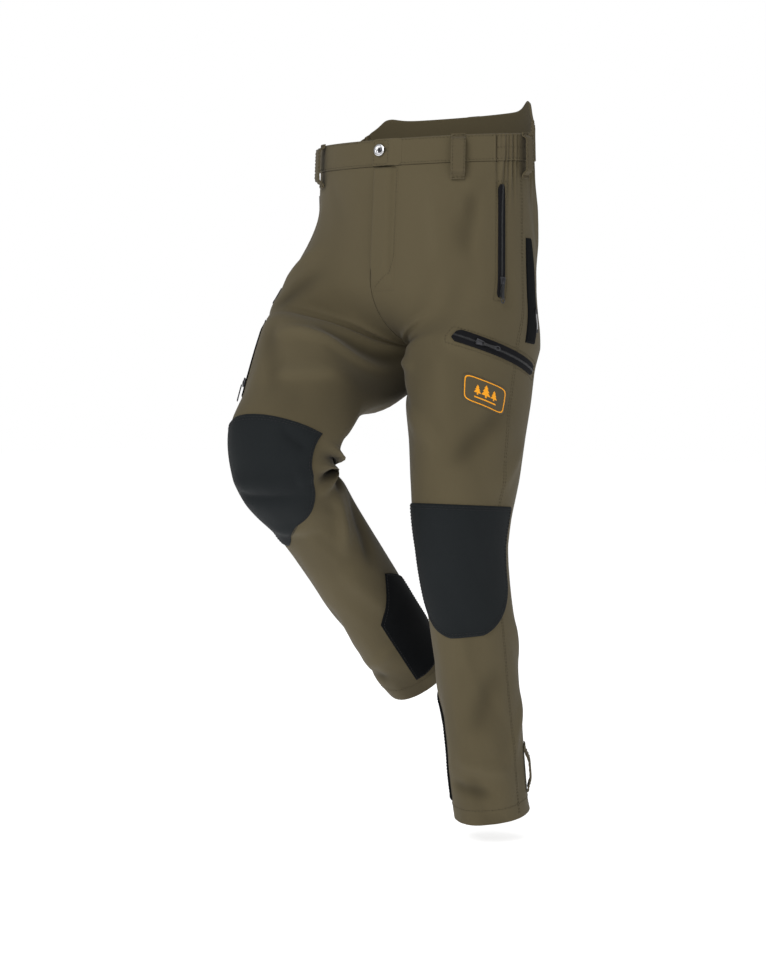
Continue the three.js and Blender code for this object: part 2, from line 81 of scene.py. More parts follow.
stance = {
    "left": {
        "hip": 6, "knee": 14, "inward": 0, "shinIn": 0, "kneeLevel": -600, "kneeHalf": 118, "hipZone": 60,
        "zoneLevel": -312, "pivotY": 0
    },
    "right": {
        "hip": 37, "knee": 80, "inward": 3, "shinIn": 6, "kneeLevel": -548, "kneeHalf": 106, "hipZone": 118,
        "zoneLevel": -285, "pivotY": -50
    },
}
grid = {"around": 176, "step": 4.0, "top": -72, "hem": 1005, "beyond": 0.17}
cloth = {"thickness": 1.3, "splitLeft": 470, "splitRight": 440}
handZip = {"u": 0.392, "v0": 74, "v1": 236, "sliderV": 214, "width": 13}
thighZip = {"u0": 0.318, "u1": 0.565, "v0": 300, "v1": 337, "sliderU": 0.385, "width": 19}
rightZip = {"u": 0.375, "v0": 300, "v1": 446, "sliderV": 424, "width": 17}
ventZip = {"u": 0.775, "left": (352, 470, 456), "right": (338, 440, 432), "width": 13}
slider = {"size": (12.0, 9.0, 2.6), "lift": 2.9}
pull = {"length": 27, "width": 7, "thickness": 1.6, "seat": 1.3, "gap": 0.35}
thread = {"length": 3.4, "gap": 1.5, "radius": 0.42}
seamLift = 0.05
trunkGirth = 490.0

rad = math.pi / 180


def smooth(t):
    t = np.clip(t, 0, 1)
    return t * t * (3 - 2 * t)


def mix(a, b, t):
    return a + (b - a) * t


# the garment's surface, the same as the frame's, in millimetres:
# u runs from the front centre (0) over the side (0.5) to the back centre (1), v down from the waist
def legAt(z):
    s = legStations
    zz = np.clip(-z, -s[0, 0], -s[-1, 0])
    return [np.interp(zz, -s[:, 0], s[:, k]) for k in (1, 2, 3, 4)]


def straight(u, v):
    around = np.pi * (u - 0.5)
    z = -v + trunk["tilt"] * np.sin(around) * (1 - smooth(v / 200))
    start, low = trunk["riseStart"], trunk["crotchLevel"]
    tau = np.clip((start - z) / (start - low), 0, 1)
    turn = tau * np.pi / 2
    toLeg = 1 - np.cos(turn)
    near = np.abs(2 * u - 1) ** 2
    curved = z * (1 - near) + (start + (low - start) * np.sin(turn)) * near
    zz = np.where((z < start) & (z > low), curved, z)
    k = np.clip(zz / trunk["hipLevel"], 0, 1)
    px = mix(trunk["waistHalfWidth"], trunk["hipHalfWidth"], k) * np.cos(around)
    py = mix(trunk["waistHalfDepth"], trunk["hipHalfDepth"], k) * np.sin(around)
    cx, cy, a, b = legAt(np.minimum(zz, low))
    turnLeg = 2 * np.pi * (u - 0.5)
    lx, ly = cx + a * np.cos(turnLeg), cy + b * np.sin(turnLeg)
    return np.stack([mix(px, lx, toLeg), mix(py, ly, toLeg), zz], -1)


def zoneDistance(p, side):
    dx, dy, dz = hipBend["direction"]
    return p[..., 0] * dx + p[..., 1] * dy + (p[..., 2] - stance[side]["zoneLevel"]) * dz


def pitch(p, py, pz, angle):
    y, z, c, s = p[..., 1] - py, p[..., 2] - pz, np.cos(angle), np.sin(angle)
    return np.stack([p[..., 0], py + y * c + z * s, pz - y * s + z * c], -1)


def lean(p, px, pz, angle):
    x, z, c, s = p[..., 0] - px, p[..., 2] - pz, np.cos(angle), np.sin(angle)
    return np.stack([px + x * c + z * s, p[..., 1], pz - x * s + z * c], -1)


def slimmed(p):
    # the right leg is flatter behind the thigh and in front of the knee and shin
    z = p[..., 2]
    share = {}
    for key, s in slim.items():
        share[key] = s["by"] * smooth((s["from"] - z) / (s["from"] - s["full"]))
        share[key] = share[key] * smooth((z - s["end"]) / (s["ease"] - s["end"]))
    y = p[..., 1] * (1 - np.where(p[..., 1] > 0, share["behind"], share["infront"]))
    return np.stack([p[..., 0], y, z], -1)


def drawnOut(p):
    # how far the raised thigh draws the cloth of its hip outwards and forwards
    d, z = hipDraw, p[..., 2]
    reach = (p[..., 0] * d["outwards"] + p[..., 1] * d["back"]) / d["span"]
    facing = smooth((reach + 0.31) / 1.36) * smooth(p[..., 0] / 110)
    grow = smooth((d["top"] - z) / (d["top"] - d["full"]))
    upper = smooth((z - d["upperEnd"]) / (d["upperFrom"] - d["upperEnd"]))
    lower = smooth((z - d["lowerEnd"]) / (d["upperEnd"] - d["lowerEnd"]))
    return facing * grow * (d["upperBy"] * upper + d["lowerBy"] * lower * (1 - upper))


def bendLeg(p, side):
    st = stance[side]
    middle = (1 - smooth(p[..., 0] / 40)) * (1 - smooth((trunk["crotchLevel"] - p[..., 2]) / 100))
    hip = smooth(zoneDistance(p, side) / st["hipZone"]) * (1 - middle)
    knee = smooth((st["kneeLevel"] + st["kneeHalf"] - p[..., 2]) / (2 * st["kneeHalf"]))
    q = pitch(slimmed(p) if side == "right" else p, kneeAt["y"], st["kneeLevel"], -knee * st["knee"] * rad)
    q = lean(q, kneeAt["x"], st["kneeLevel"], knee * st["shinIn"] * rad)
    q = pitch(q, st["pivotY"], hipBend["z"], hip * st["hip"] * rad)
    q = lean(q, hipBend["x"], hipBend["z"], hip * st["inward"] * rad)
    drawn = drawnOut(p)[..., None] if side == "right" else 0.0
    return q + np.array([0.2, 0, 0]) + drawn * np.array([hipDraw["outwards"], hipDraw["back"], 0])


def girth(v):
    # length round one side, in millimetres, for turning u into a distance
    cx, cy, a, b = legAt(-np.maximum(v, 305.0))
    return mix(trunkGirth, np.pi * (a + b) * 1.005, smooth((v - 205.0) / 100.0))


# folds and wrinkles
rng = np.random.RandomState(7)
noiseTable = rng.rand(64, 64)


def noise(x, y):
    xi, yi = np.floor(x).astype(int), np.floor(y).astype(int)
    fx, fy = smooth(x - xi), smooth(y - yi)
    t = noiseTable
    a, b = t[xi % 64, yi % 64], t[(xi + 1) % 64, yi % 64]
    c, d = t[xi % 64, (yi + 1) % 64], t[(xi + 1) % 64, (yi + 1) % 64]
    return (mix(mix(a, b, fx), mix(c, d, fx), fy) - 0.5) * 2


def fold(u, v, line):
    # a soft ridge (or a hollow, when its height is negative) from one place to another
    u0, v0, u1, v1, width, height = line
    k = girth(np.array((v0 + v1) / 2.0))
    ax, ay, bx, by = u0 * k, v0, u1 * k, v1
    dx, dy = bx - ax, by - ay
    length = math.hypot(dx, dy)
    t = ((u * k - ax) * dx + (v - ay) * dy) / length ** 2
    across = ((u * k - ax) * dy - (v - ay) * dx) / length
    ends = smooth(t / 0.35) * smooth((1 - t) / 0.35)
    return height * np.exp(-(across / width) ** 2) * ends


foldLines = {
    "left": [
        (0.00, 296, 0.20, 250, 7, 4.0), (0.00, 306, 0.24, 300, 8, -3.5), (0.01, 318, 0.22, 352, 8, 4.0),
        (0.98, 300, 0.80, 262, 8, 4.0), (0.99, 318, 0.78, 360, 9, -4.0), (1.0, 340, 0.80, 400, 10, 4.0),
        (0.04, 345, 0.20, 420, 11, -3.0), (0.12, 392, 0.30, 470, 14, 3.0), (0.50, 380, 0.30, 500, 16, -3.0),
        (0.60, 430, 0.45, 530, 12, 3.0), (0.62, 560, 0.92, 590, 8, 5.0), (0.62, 590, 0.95, 612, 8, -5.0),
        (0.60, 615, 0.95, 640, 9, 5.0), (0.64, 645, 0.95, 668, 9, -4.0), (0.52, 700, 0.70, 800, 14, 3.0),
        (0.10, 760, 0.02, 900, 14, 3.0), (0.45, 760, 0.30, 880, 16, -2.5), (0.62, 820, 0.45, 930, 12, 3.0),
        (0.20, 905, 0.48, 935, 11, 3.2), (0.12, 940, 0.42, 962, 9, -3.0), (0.55, 952, 0.85, 925, 10, 3.0),
        (0.16, 62, 0.19, 200, 13, 2.0), (0.30, 56, 0.27, 190, 12, -2.0), (0.62, 60, 0.66, 200, 14, 3.0),
        (0.72, 60, 0.74, 230, 16, -3.0), (0.85, 120, 0.70, 290, 15, 3.5),
    ],
    "right": [
        (0.00, 290, 0.22, 240, 9, 2.2), (0.01, 300, 0.24, 266, 10, -1.6), (0.02, 312, 0.25, 292, 10, 2.4),
        (0.03, 326, 0.22, 326, 9, -3.0), (0.04, 344, 0.28, 366, 10, 4.5), (0.98, 320, 0.74, 300, 9, 5.0),
        (0.97, 345, 0.70, 345, 9, -5.0), (0.96, 372, 0.70, 392, 10, 5.0), (0.14, 150, 0.34, 225, 13, 3.5),
        (0.10, 190, 0.30, 262, 12, -3.0), (0.06, 395, 0.24, 440, 11, 3.0), (0.30, 330, 0.20, 470, 16, -3.0),
        (0.44, 566, 0.06, 582, 7, -5.0), (0.42, 552, 0.10, 560, 9, 3.5), (0.36, 620, 0.12, 640, 12, 3.0),
        (0.05, 520, 0.16, 500, 8, -4.0), (0.62, 505, 1.04, 500, 8, 8.0), (0.62, 524, 1.02, 522, 8, -8.5),
        (0.60, 543, 1.06, 546, 8, 8.5), (0.60, 563, 1.04, 570, 8, -8.5), (0.60, 583, 1.06, 594, 9, 8.0),
        (0.64, 607, 1.00, 622, 9, -6.0), (0.56, 540, 0.46, 560, 9, 3.5), (1.02, 555, 1.12, 560, 9, 3.5),
        (0.95, 600, 1.12, 720, 13, 4.5), (0.90, 640, 1.04, 770, 13, -4.0), (0.60, 640, 0.46, 760, 14, 3.0),
        (0.16, 720, 0.06, 860, 15, 3.0), (0.30, 780, 0.42, 900, 14, -3.0), (0.12, 900, 0.40, 930, 11, 3.0),
        (0.20, 945, 0.46, 960, 9, -2.6), (0.30, 56, 0.27, 190, 12, -2.0),
    ],
}


def calm(u, v, side):
    # no folds under the hardware, in the middle seams and along the waistband
    keep = np.ones_like(u)
    spots = [
        (handZip["u"], handZip["v0"] - 4, handZip["v1"] + 16, 14),
        (ventZip["u"], ventZip[side][0], ventZip[side][1] + 4, 12), (0.60, 895, 985, 16), (0.5, 30, 70, 14),
        (0.245, 30, 70, 14)
    ]
    if side == "left":
        spots += [(0.02, 20, 235, 20)]
    else:
        spots += [(rightZip["u"], rightZip["v0"], rightZip["v1"] + 14, 14)]
    k = girth(v)
    for su, v0, v1, half in spots:
        du = np.maximum(np.abs(u - su) * k - half, 0)
        dv = np.maximum(np.maximum(v0 - v, v - v1), 0)
        keep = keep * (1 - np.exp(-((du ** 2 + dv ** 2) / 16.0 ** 2)))
    if side == "left":
        arc = mix(thighZip["v0"], thighZip["v1"], (u - thighZip["u0"]) / (thighZip["u1"] - thighZip["u0"]))
        du = np.maximum(np.maximum(thighZip["u0"] - u, u - thighZip["u1"]), 0) * k
        dv = np.maximum(np.abs(v - arc) - 14, 0)
        keep = keep * (1 - np.exp(-((du ** 2 + dv ** 2) / 14.0 ** 2)))
    seam = smooth(np.minimum(np.abs(u), np.abs(1 - u)) / 0.05)
    trunkPart = 1 - smooth((v - 300) / 60)
    return keep * mix(1.0, seam, trunkPart) * smooth((v - 40) / 30)


def gathers(u, v):
    inBand = smooth((u - 0.355) / 0.02) * smooth((0.675 - u) / 0.02)
    ripple = np.sin(u * trunkGirth * 2 * np.pi / 9.5 + 1.6 * noise(u * 40, v * 0.01) * 2)
    below = smooth((150 - v) / 110) ** 2
    return inBand * ripple * np.where(v < 40, 2.1, 2.9 * below)


def wrinkles(u, v, side):
    k = girth(v)
    shift = 11.0 if side == "left" else 29.0
    wrap = u % 1.0
    ring = np.cos(2 * np.pi * wrap), np.sin(2 * np.pi * wrap)
    broad = noise(ring[0] * 1.7 + shift, ring[1] * 1.7 + v / 95)
    broad = broad + 0.5 * noise(ring[0] * 3.6 + shift, ring[1] * 3.6 + v / 42 + 9)
    total = 1.5 * broad
    for line in foldLines[side]:
        line = line[:5] + (line[5] * 1.3,)
        total = total + fold(u, v, line)
        if line[0] > 0.8 or line[2] > 0.8:
            total = total + fold(u + 1, v, line) * (v > 330)
        if line[0] < 0.2 or line[2] < 0.2:
            total = total + fold(u - 1, v, line) * (v > 330)
    hem = smooth((v - 880) / 90)
    total = total + hem * 1.8 * np.sin(2 * np.pi * (3 * wrap + 0.15) + v / 26)
    total = total + 2.2 * smooth((v - 955) / 50) * np.sin(2 * np.pi * 2 * wrap + 0.8)
    besideLoop = 1 - np.exp(-(np.maximum(np.abs(u - 0.5) * trunkGirth - 12, 0) / 6.0) ** 2)
    return total * calm(u, v, side) + gathers(u, v) * smooth((v + 40) / 12) * besideLoop


uLine = np.linspace(-grid["beyond"], 1 + grid["beyond"], int(grid["around"] * (1 + 2 * grid["beyond"])) + 1)
vLine = np.arange(grid["top"], grid["hem"] + 0.1, grid["step"])
vLine[-1] = grid["hem"]
surfaces = {}


def normalsOf(p):
    du, dv = np.gradient(p, axis=1), np.gradient(p, axis=0)
    n = np.cross(dv, du)
    return n / np.maximum(np.linalg.norm(n, axis=-1, keepdims=True), 1e-9)


for side in ("left", "right"):
    uu, vv = np.meshgrid(uLine, vLine)
    base = bendLeg(straight(uu, vv), side)
    plain = normalsOf(base)
    shaped = base + plain * wrinkles(uu, vv, side)[..., None]
    surfaces[side] = {"points": shaped, "normals": normalsOf(shaped), "base": base, "plain": plain}
print("stage: garment surface and folds")


def sample(table, u, v):
    a = (np.asarray(u, float) - uLine[0]) / (uLine[1] - uLine[0])
    b = np.interp(v, vLine, np.arange(len(vLine)))
    a = np.clip(a, 0, len(uLine) - 1.001)
    b = np.clip(b, 0, len(vLine) - 1.001)
    i, j = np.floor(a).astype(int), np.floor(b).astype(int)
    fa, fb = (a - i)[..., None], (b - j)[..., None]
    above = table[j, i] * (1 - fa) + table[j, i + 1] * fa
    below = table[j + 1, i] * (1 - fa) + table[j + 1, i + 1] * fa
    return above * (1 - fb) + below * fb


def spot(side, u, v, off=0.0, flat=False):
    s = surfaces[side]
    u, v = np.broadcast_arrays(np.asarray(u, float), np.asarray(v, float))
    p = sample(s["base" if flat else "points"], u, v)
    n = sample(s["plain" if flat else "normals"], u, v)
    n = n / np.linalg.norm(n, axis=-1, keepdims=True)
    q = p + n * np.asarray(off, float)[..., None]
    if side == "right":
        q = q * np.array([-1, 1, 1])
    return q * mm


def frameAt(side, u, v):
    # local axes on the plain surface, as columns: around, down, out
    e, h = 0.004, 2.0
    a, b = spot(side, u - e, v, flat=True), spot(side, u + e, v, flat=True)
    c, d = spot(side, u, v - h, flat=True), spot(side, u, v + h, flat=True)
    around = Vector(b - a).normalized()
    down = Vector(d - c).normalized()
    out = down.cross(around).normalized()
    if side == "right":
        out = -out
    around = (out.cross(down)).normalized() if side == "left" else (down.cross(out)).normalized()
    return Vector(spot(side, u, v, flat=True)), around, down, out


# meshes
def makeObject(name, points, faces, uvs=None, smoothShade=True):
    mesh = bpy.data.meshes.new(name)
    mesh.from_pydata([tuple(p) for p in points], [], [tuple(int(i) for i in f) for f in faces])
    mesh.update()
    if uvs is not None:
        layer = mesh.uv_layers.new(name="cut")
        index = np.zeros(len(mesh.loops), int)
        mesh.loops.foreach_get("vertex_index", index)
        layer.data.foreach_set("uv", np.asarray(uvs, float)[index].astype(np.float32).ravel())
    obj = bpy.data.objects.new(name, mesh)
    bpy.context.collection.objects.link(obj)
    outward(obj)
    if smoothShade:
        mesh.polygons.foreach_set("use_smooth", [True] * len(mesh.polygons))
    return obj


def outward(obj):
    # every piece is a closed body: turn it if it is inside out
    mesh = obj.data
    bm = bmesh.new()
    bm.from_mesh(mesh)
    if bm.calc_volume(signed=True) < 0:
        bmesh.ops.reverse_faces(bm, faces=bm.faces)
        bm.to_mesh(mesh)
    bm.free()


def slabMesh(name, place, nu, nv, wraps=False, uvOf=None):
    # place(a, b, k) gives points in metres for arrays a, b in 0..1 and layer k
    cols = nu if wraps else nu + 1
    a, b = np.meshgrid(np.arange(cols) / nu, np.arange(nv + 1) / nv)
    layers = [place(a, b, k).reshape(-1, 3) for k in (0, 1)]
    points = np.concatenate(layers)
    n = cols * (nv + 1)
    i, j = np.meshgrid(np.arange(nu), np.arange(nv))
    i, j = i.ravel(), j.ravel()
    i2 = (i + 1) % cols if wraps else i + 1
    top = np.stack([j * cols + i, j * cols + i2, (j + 1) * cols + i2, (j + 1) * cols + i], 1)
    faces = [top + n, top[:, ::-1]]
    k = np.arange(nu)
    k2 = (k + 1) % cols if wraps else k + 1
    faces.append(np.stack([k, k2, k2 + n, k + n], 1))
    last = nv * cols
    faces.append(np.stack([last + k + n, last + k2 + n, last + k2, last + k], 1))
    if not wraps:
        k = np.arange(nv) * cols
        faces.append(np.stack([k + n, k + cols + n, k + cols, k], 1))
        k = k + nu
        faces.append(np.stack([k, k + cols, k + cols + n, k + n], 1))
    uv = None
    if uvOf is not None:
        uv = np.stack(uvOf(a, b), -1).reshape(-1, 2)
        uv = np.concatenate([uv, uv])
    return makeObject(name, points, np.concatenate(faces), uv)


def roundCut(wide, long):
    # cloth coordinates for a piece made in rings
    return lambda a, b: (b * wide * np.cos(a * 2 * np.pi), b * long * np.sin(a * 2 * np.pi))


cutSizes = {}


def cutSize(u, v):
    # greatest width, greatest length and area of a flat piece, in metres
    a, b = np.meshgrid(np.linspace(0, 1, 40), np.linspace(0, 1, 40))
    uu, vv = u(a, b), v(a, b)
    x = (uu - uu.mean()) * girth(vv)
    ax, ay = np.diff(x, axis=1)[:-1], np.diff(vv, axis=1)[:-1]
    bx, by = np.diff(x, axis=0)[:, :-1], np.diff(vv, axis=0)[:, :-1]
    area = abs(float((ax * by - ay * bx).sum())) * mm * mm
    wide = float((x[:, -1] - x[:, 0]).max()) * mm
    long = float((vv[-1] - vv[0]).max()) * mm
    return wide, long, min(area, wide * long)


def lay(name, side, u, v, nu, nv, low, high, edge=1.6, wraps=False):
    # a piece of cloth lying on the garment, with rounded edges; u(a, b) and v(a, b) give its place
    def place(a, b, k):
        uu, vv = u(a, b), v(a, b)
        if k == 0:
            return spot(side, uu, vv, low * np.ones_like(uu) if np.isscalar(low) else low(uu, vv))
        size = girth(vv)
        left = (uu - u(np.zeros_like(a), b)) * size
        right = (u(np.ones_like(a), b) - uu) * size
        up = vv - v(a, np.zeros_like(b))
        down = v(a, np.ones_like(b)) - vv
        near = np.minimum(np.abs(up), np.abs(down))
        if not wraps:
            near = np.minimum(near, np.minimum(np.abs(left), np.abs(right)))
        t = np.clip(near / edge, 0, 1)
        round1 = np.sqrt(np.clip(1 - (1 - t) ** 2, 0, 1))
        lowV = low if np.isscalar(low) else low(uu, vv)
        highV = high if np.isscalar(high) else high(uu, vv)
        return spot(side, uu, vv, lowV + (highV - lowV) * (0.25 + 0.75 * round1))
    obj = slabMesh(name, place, nu, nv, wraps, lambda a, b: (u(a, b) * girth(v(a, b)) * mm, v(a, b) * mm))
    cutSizes[obj.name] = cutSize(u, v)
    return obj


def pathOn(side, places, off=0.0, step=2.0):
    # points every few millimetres along a line of (u, v) places
    pts = []
    for (u0, v0), (u1, v1) in zip(places[:-1], places[1:]):
        n = max(2, int(math.hypot((u1 - u0) * float(girth(np.array((v0 + v1) / 2.0))), v1 - v0) / step))
        t = np.arange(n) / n
        pts.append(np.stack([mix(u0, u1, t), mix(v0, v1, t)], -1))
    pts.append(np.array([places[-1]], float))
    uv = np.concatenate(pts)
    p = spot(side, uv[:, 0], uv[:, 1], off)
    base = spot(side, uv[:, 0], uv[:, 1], off + 1.0)
    return p, (base - p) / mm


def stitchMesh(name, runs, radius=None, length=None, gap=None):
    # short rounded threads in a row: runs is a list of (points, outward directions)
    radius, length, gap = radius or thread["radius"], length or thread["length"], gap or thread["gap"]
    allPoints, allFaces, count = [], [], 0
    sides = 5
    for pts, outs in runs:
        seg = np.linalg.norm(np.diff(pts, axis=0), axis=1)
        dist = np.concatenate([[0], np.cumsum(seg)]) / mm
        total = dist[-1]
        n = int(total / (length + gap))
        if n < 1:
            continue
        pitchStep = total / n
        for i in range(n):
            c0 = i * pitchStep + gap / 2
            stations = np.array([0.0, 0.18, 0.5, 0.82, 1.0]) * (pitchStep - gap) + c0
            rise = np.array([-0.25, 0.25, 0.42, 0.25, -0.25]) * radius * 1.6
            thick = np.array([0.25, 0.85, 1.0, 0.85, 0.25]) * radius
            centre = np.stack([np.interp(stations, dist, pts[:, k]) for k in range(3)], -1)
            out = np.stack([np.interp(stations, dist, outs[:, k]) for k in range(3)], -1)
            out /= np.linalg.norm(out, axis=1, keepdims=True)
            along = centre[-1] - centre[0]
            along /= max(np.linalg.norm(along), 1e-9)
            across = np.cross(along, out)
            for s in range(5):
                ang = np.arange(sides) * 2 * np.pi / sides
                circle = np.cos(ang)[:, None] * across[s] + np.sin(ang)[:, None] * out[s]
                allPoints.append(centre[s] + out[s] * rise[s] * mm + circle * thick[s] * mm)
            for s in range(4):
                first, second = count + s * sides, count + (s + 1) * sides
                for q in range(sides):
                    q2 = (q + 1) % sides
                    allFaces.append((first + q, first + q2, second + q2, second + q))
            allFaces.append(tuple(count + q for q in range(sides))[::-1])
            allFaces.append(tuple(count + 4 * sides + q for q in range(sides)))
            count += 5 * sides
    return makeObject(name, np.concatenate(allPoints), allFaces)


def place(obj, side, u, v, lift=0.0, angle=0.0, along=0.0):
    # moves a piece modelled in millimetres (x around, y down, z out) to its place on the garment
    at, around, down, out = frameAt(side, u, v)
    c, k = math.cos(angle), math.sin(angle)
    x, y = around * c + down * k, down * c - around * k
    origin = at + (y * along + out * lift) * mm
    matrix = Matrix((x * mm, y * mm, out * mm)).transposed().to_4x4()
    matrix.translation = origin
    obj.data.transform(matrix)
    obj.data.update()
    outward(obj)
    return obj


def activate(obj):
    bpy.ops.object.select_all(action="DESELECT")
    obj.select_set(True)
    bpy.context.view_layer.objects.active = obj


def applied(obj):
    activate(obj)
    for m in list(obj.modifiers):
        bpy.ops.object.modifier_apply(modifier=m.name)
    return obj


def softened(obj, width, segments=2, angle=30):
    # rounds the edges of a hard piece
    m = obj.modifiers.new("edges", "BEVEL")
    m.width, m.segments, m.limit_method, m.angle_limit = width, segments, "ANGLE", angle * rad
    applied(obj)
    bpy.ops.object.shade_smooth_by_angle(angle=40 * rad)
    return obj


def editing(obj):
    activate(obj)
    bpy.ops.object.mode_set(mode="EDIT")
    bpy.ops.mesh.select_all(action="DESELECT")
    return bmesh.from_edit_mesh(obj.data)


def pickFaces(obj, test):
    bm = bmesh.from_edit_mesh(obj.data)
    bm.faces.ensure_lookup_table()
    bpy.ops.mesh.select_all(action="DESELECT")
    for f in bm.faces:
        if test(f.calc_center_median(), f.normal):
            f.select_set(True)
    bmesh.update_edit_mesh(obj.data)


def done(obj):
    bpy.ops.object.mode_set(mode="OBJECT")
    return obj


def discOf(name, radius, depth, centre, vertices=48):
    bpy.ops.object.select_all(action="DESELECT")
    bpy.ops.mesh.primitive_cylinder_add(vertices=vertices, radius=radius, depth=depth, location=centre)
    obj = bpy.context.object
    obj.name = obj.data.name = name
    bpy.ops.object.transform_apply(location=True, rotation=True, scale=True)
    return obj


def boxOf(name, size, centre):
    bpy.ops.object.select_all(action="DESELECT")
    bpy.ops.mesh.primitive_cube_add(size=1, location=centre)
    obj = bpy.context.object
    obj.name = obj.data.name = name
    obj.scale = size
    bpy.ops.object.transform_apply(location=True, rotation=True, scale=True)
    return obj


def joined(name, objs):
    bpy.ops.object.select_all(action="DESELECT")
    for o in objs:
        o.select_set(True)
    bpy.context.view_layer.objects.active = objs[0]
    if len(objs) > 1:
        bpy.ops.object.join()
    objs[0].name = objs[0].data.name = name
    return objs[0]


# materials
def newGroup(name, inputs, outputs):
    group = bpy.data.node_groups.new(name, "ShaderNodeTree")
    for label, kind, value in inputs:
        socket = group.interface.new_socket(name=label, in_out="INPUT", socket_type=kind)
        if value is not None:
            socket.default_value = value
    for label, kind in outputs:
        group.interface.new_socket(name=label, in_out="OUTPUT", socket_type=kind)
    return group, group.nodes.new("NodeGroupInput"), group.nodes.new("NodeGroupOutput")


def math2(tree, operation, a, b=None, c=None):
    node = tree.nodes.new("ShaderNodeMath")
    node.operation = operation
    for k, value in enumerate((a, b, c)):
        if value is None:
            continue
        if isinstance(value, (int, float)):
            node.inputs[k].default_value = value
        else:
            tree.links.new(value, node.inputs[k])
    return node.outputs[0]


def newMaterial(name):
    mat = bpy.data.materials.new(name)
    mat.use_nodes = True
    return mat, mat.node_tree, mat.node_tree.nodes["Principled BSDF"]


def weaveGroup():
    # crossing threads, from the piece's own cloth coordinates in metres
    group, gin, gout = newGroup(
        "clothWeave",
        [
            ("Cut", "NodeSocketVector", None), ("Threads", "NodeSocketFloat", 1500.0),
            ("Twill", "NodeSocketFloat", 1.0)
        ],
        [("Height", "NodeSocketFloat"), ("Shade", "NodeSocketFloat")]
    )
    split = group.nodes.new("ShaderNodeSeparateXYZ")
    group.links.new(gin.outputs["Cut"], split.inputs[0])
    x = math2(group, "MULTIPLY", split.outputs[0], gin.outputs["Threads"])
    y = math2(group, "MULTIPLY", split.outputs[1], gin.outputs["Threads"])
    turns = 2 * math.pi
    warp = math2(group, "SINE", math2(group, "MULTIPLY", x, turns))
    weft = math2(group, "SINE", math2(group, "MULTIPLY", y, turns))
    slant = math2(group, "ADD", math2(group, "MULTIPLY", x, 0.5), math2(group, "MULTIPLY", y, 0.5))
    rib = math2(group, "SINE", math2(group, "MULTIPLY", slant, turns))
    crossed = math2(group, "MULTIPLY", warp, weft)
    ribbed = math2(group, "MULTIPLY", rib, gin.outputs["Twill"])
    height = math2(group, "MULTIPLY_ADD", math2(group, "ADD", crossed, ribbed), 0.25, 0.5)
    group.links.new(height, gout.inputs["Height"])
    group.links.new(height, gout.inputs["Shade"])
    return group


def mottleAndShadingGroup():
    # slow and fine changes of tone, as wear, and painted light and shade from the fold attribute: paler fold
    # ridges, darker fold hollows and a darker crotch
    group, gin, gout = newGroup(
        "clothMottleAndShading",
        [
            ("Cut", "NodeSocketVector", None), ("Base", "NodeSocketColor", (0.1, 0.1, 0.1, 1)),
            ("WornAndLit", "NodeSocketColor", (0.2, 0.2, 0.2, 1)), ("Amount", "NodeSocketFloat", 0.3),
            ("PaintedShading", "NodeSocketFloat", 0.5)
        ],
        [("Color", "NodeSocketColor"), ("Fine", "NodeSocketFloat")]
    )
    broad = group.nodes.new("ShaderNodeTexNoise")
    broad.inputs["Scale"].default_value = 9.0
    broad.inputs["Detail"].default_value = 4.0
    fine = group.nodes.new("ShaderNodeTexNoise")
    fine.inputs["Scale"].default_value = 420.0
    fine.inputs["Detail"].default_value = 2.0
    for n in (broad, fine):
        group.links.new(gin.outputs["Cut"], n.inputs["Vector"])
    wear = math2(
        group, "MULTIPLY",
        math2(
            group, "ADD", math2(group, "MULTIPLY", broad.outputs["Fac"], 0.7),
            math2(group, "MULTIPLY", fine.outputs["Fac"], 0.3)
        ),
        gin.outputs["Amount"]
    )
    # random tone for wear, plus painted light: fold ridges mix towards the paler colour and hollows away
    # from it
    total = math2(group, "ADD", wear, math2(group, "MULTIPLY", gin.outputs["PaintedShading"], 0.35))
    clamp = math2(group, "MAXIMUM", math2(group, "MINIMUM", total, 1.0), 0.0)
    # painted shade: fold hollows and the painted crotch shadow multiply the colour down to three tenths
    hollow = math2(
        group, "MINIMUM",
        math2(group, "MAXIMUM", math2(group, "MULTIPLY_ADD", gin.outputs["PaintedShading"], 0.55, 1.0), 0.3), 1.0
    )
    mixer = group.nodes.new("ShaderNodeMix")
    mixer.data_type = "RGBA"
    group.links.new(clamp, mixer.inputs[0])
    group.links.new(gin.outputs["Base"], mixer.inputs[6])
    group.links.new(gin.outputs["WornAndLit"], mixer.inputs[7])
    shaded = group.nodes.new("ShaderNodeMix")
    shaded.data_type, shaded.blend_type = "RGBA", "MULTIPLY"
    shaded.inputs[0].default_value = 1.0
    group.links.new(mixer.outputs[2], shaded.inputs[6])
    group.links.new(hollow, shaded.inputs[7])
    group.links.new(shaded.outputs[2], gout.inputs["Color"])
    group.links.new(fine.outputs["Fac"], gout.inputs["Fine"])
    return group


clothWeave = weaveGroup()
clothMottleAndShading = mottleAndShadingGroup()


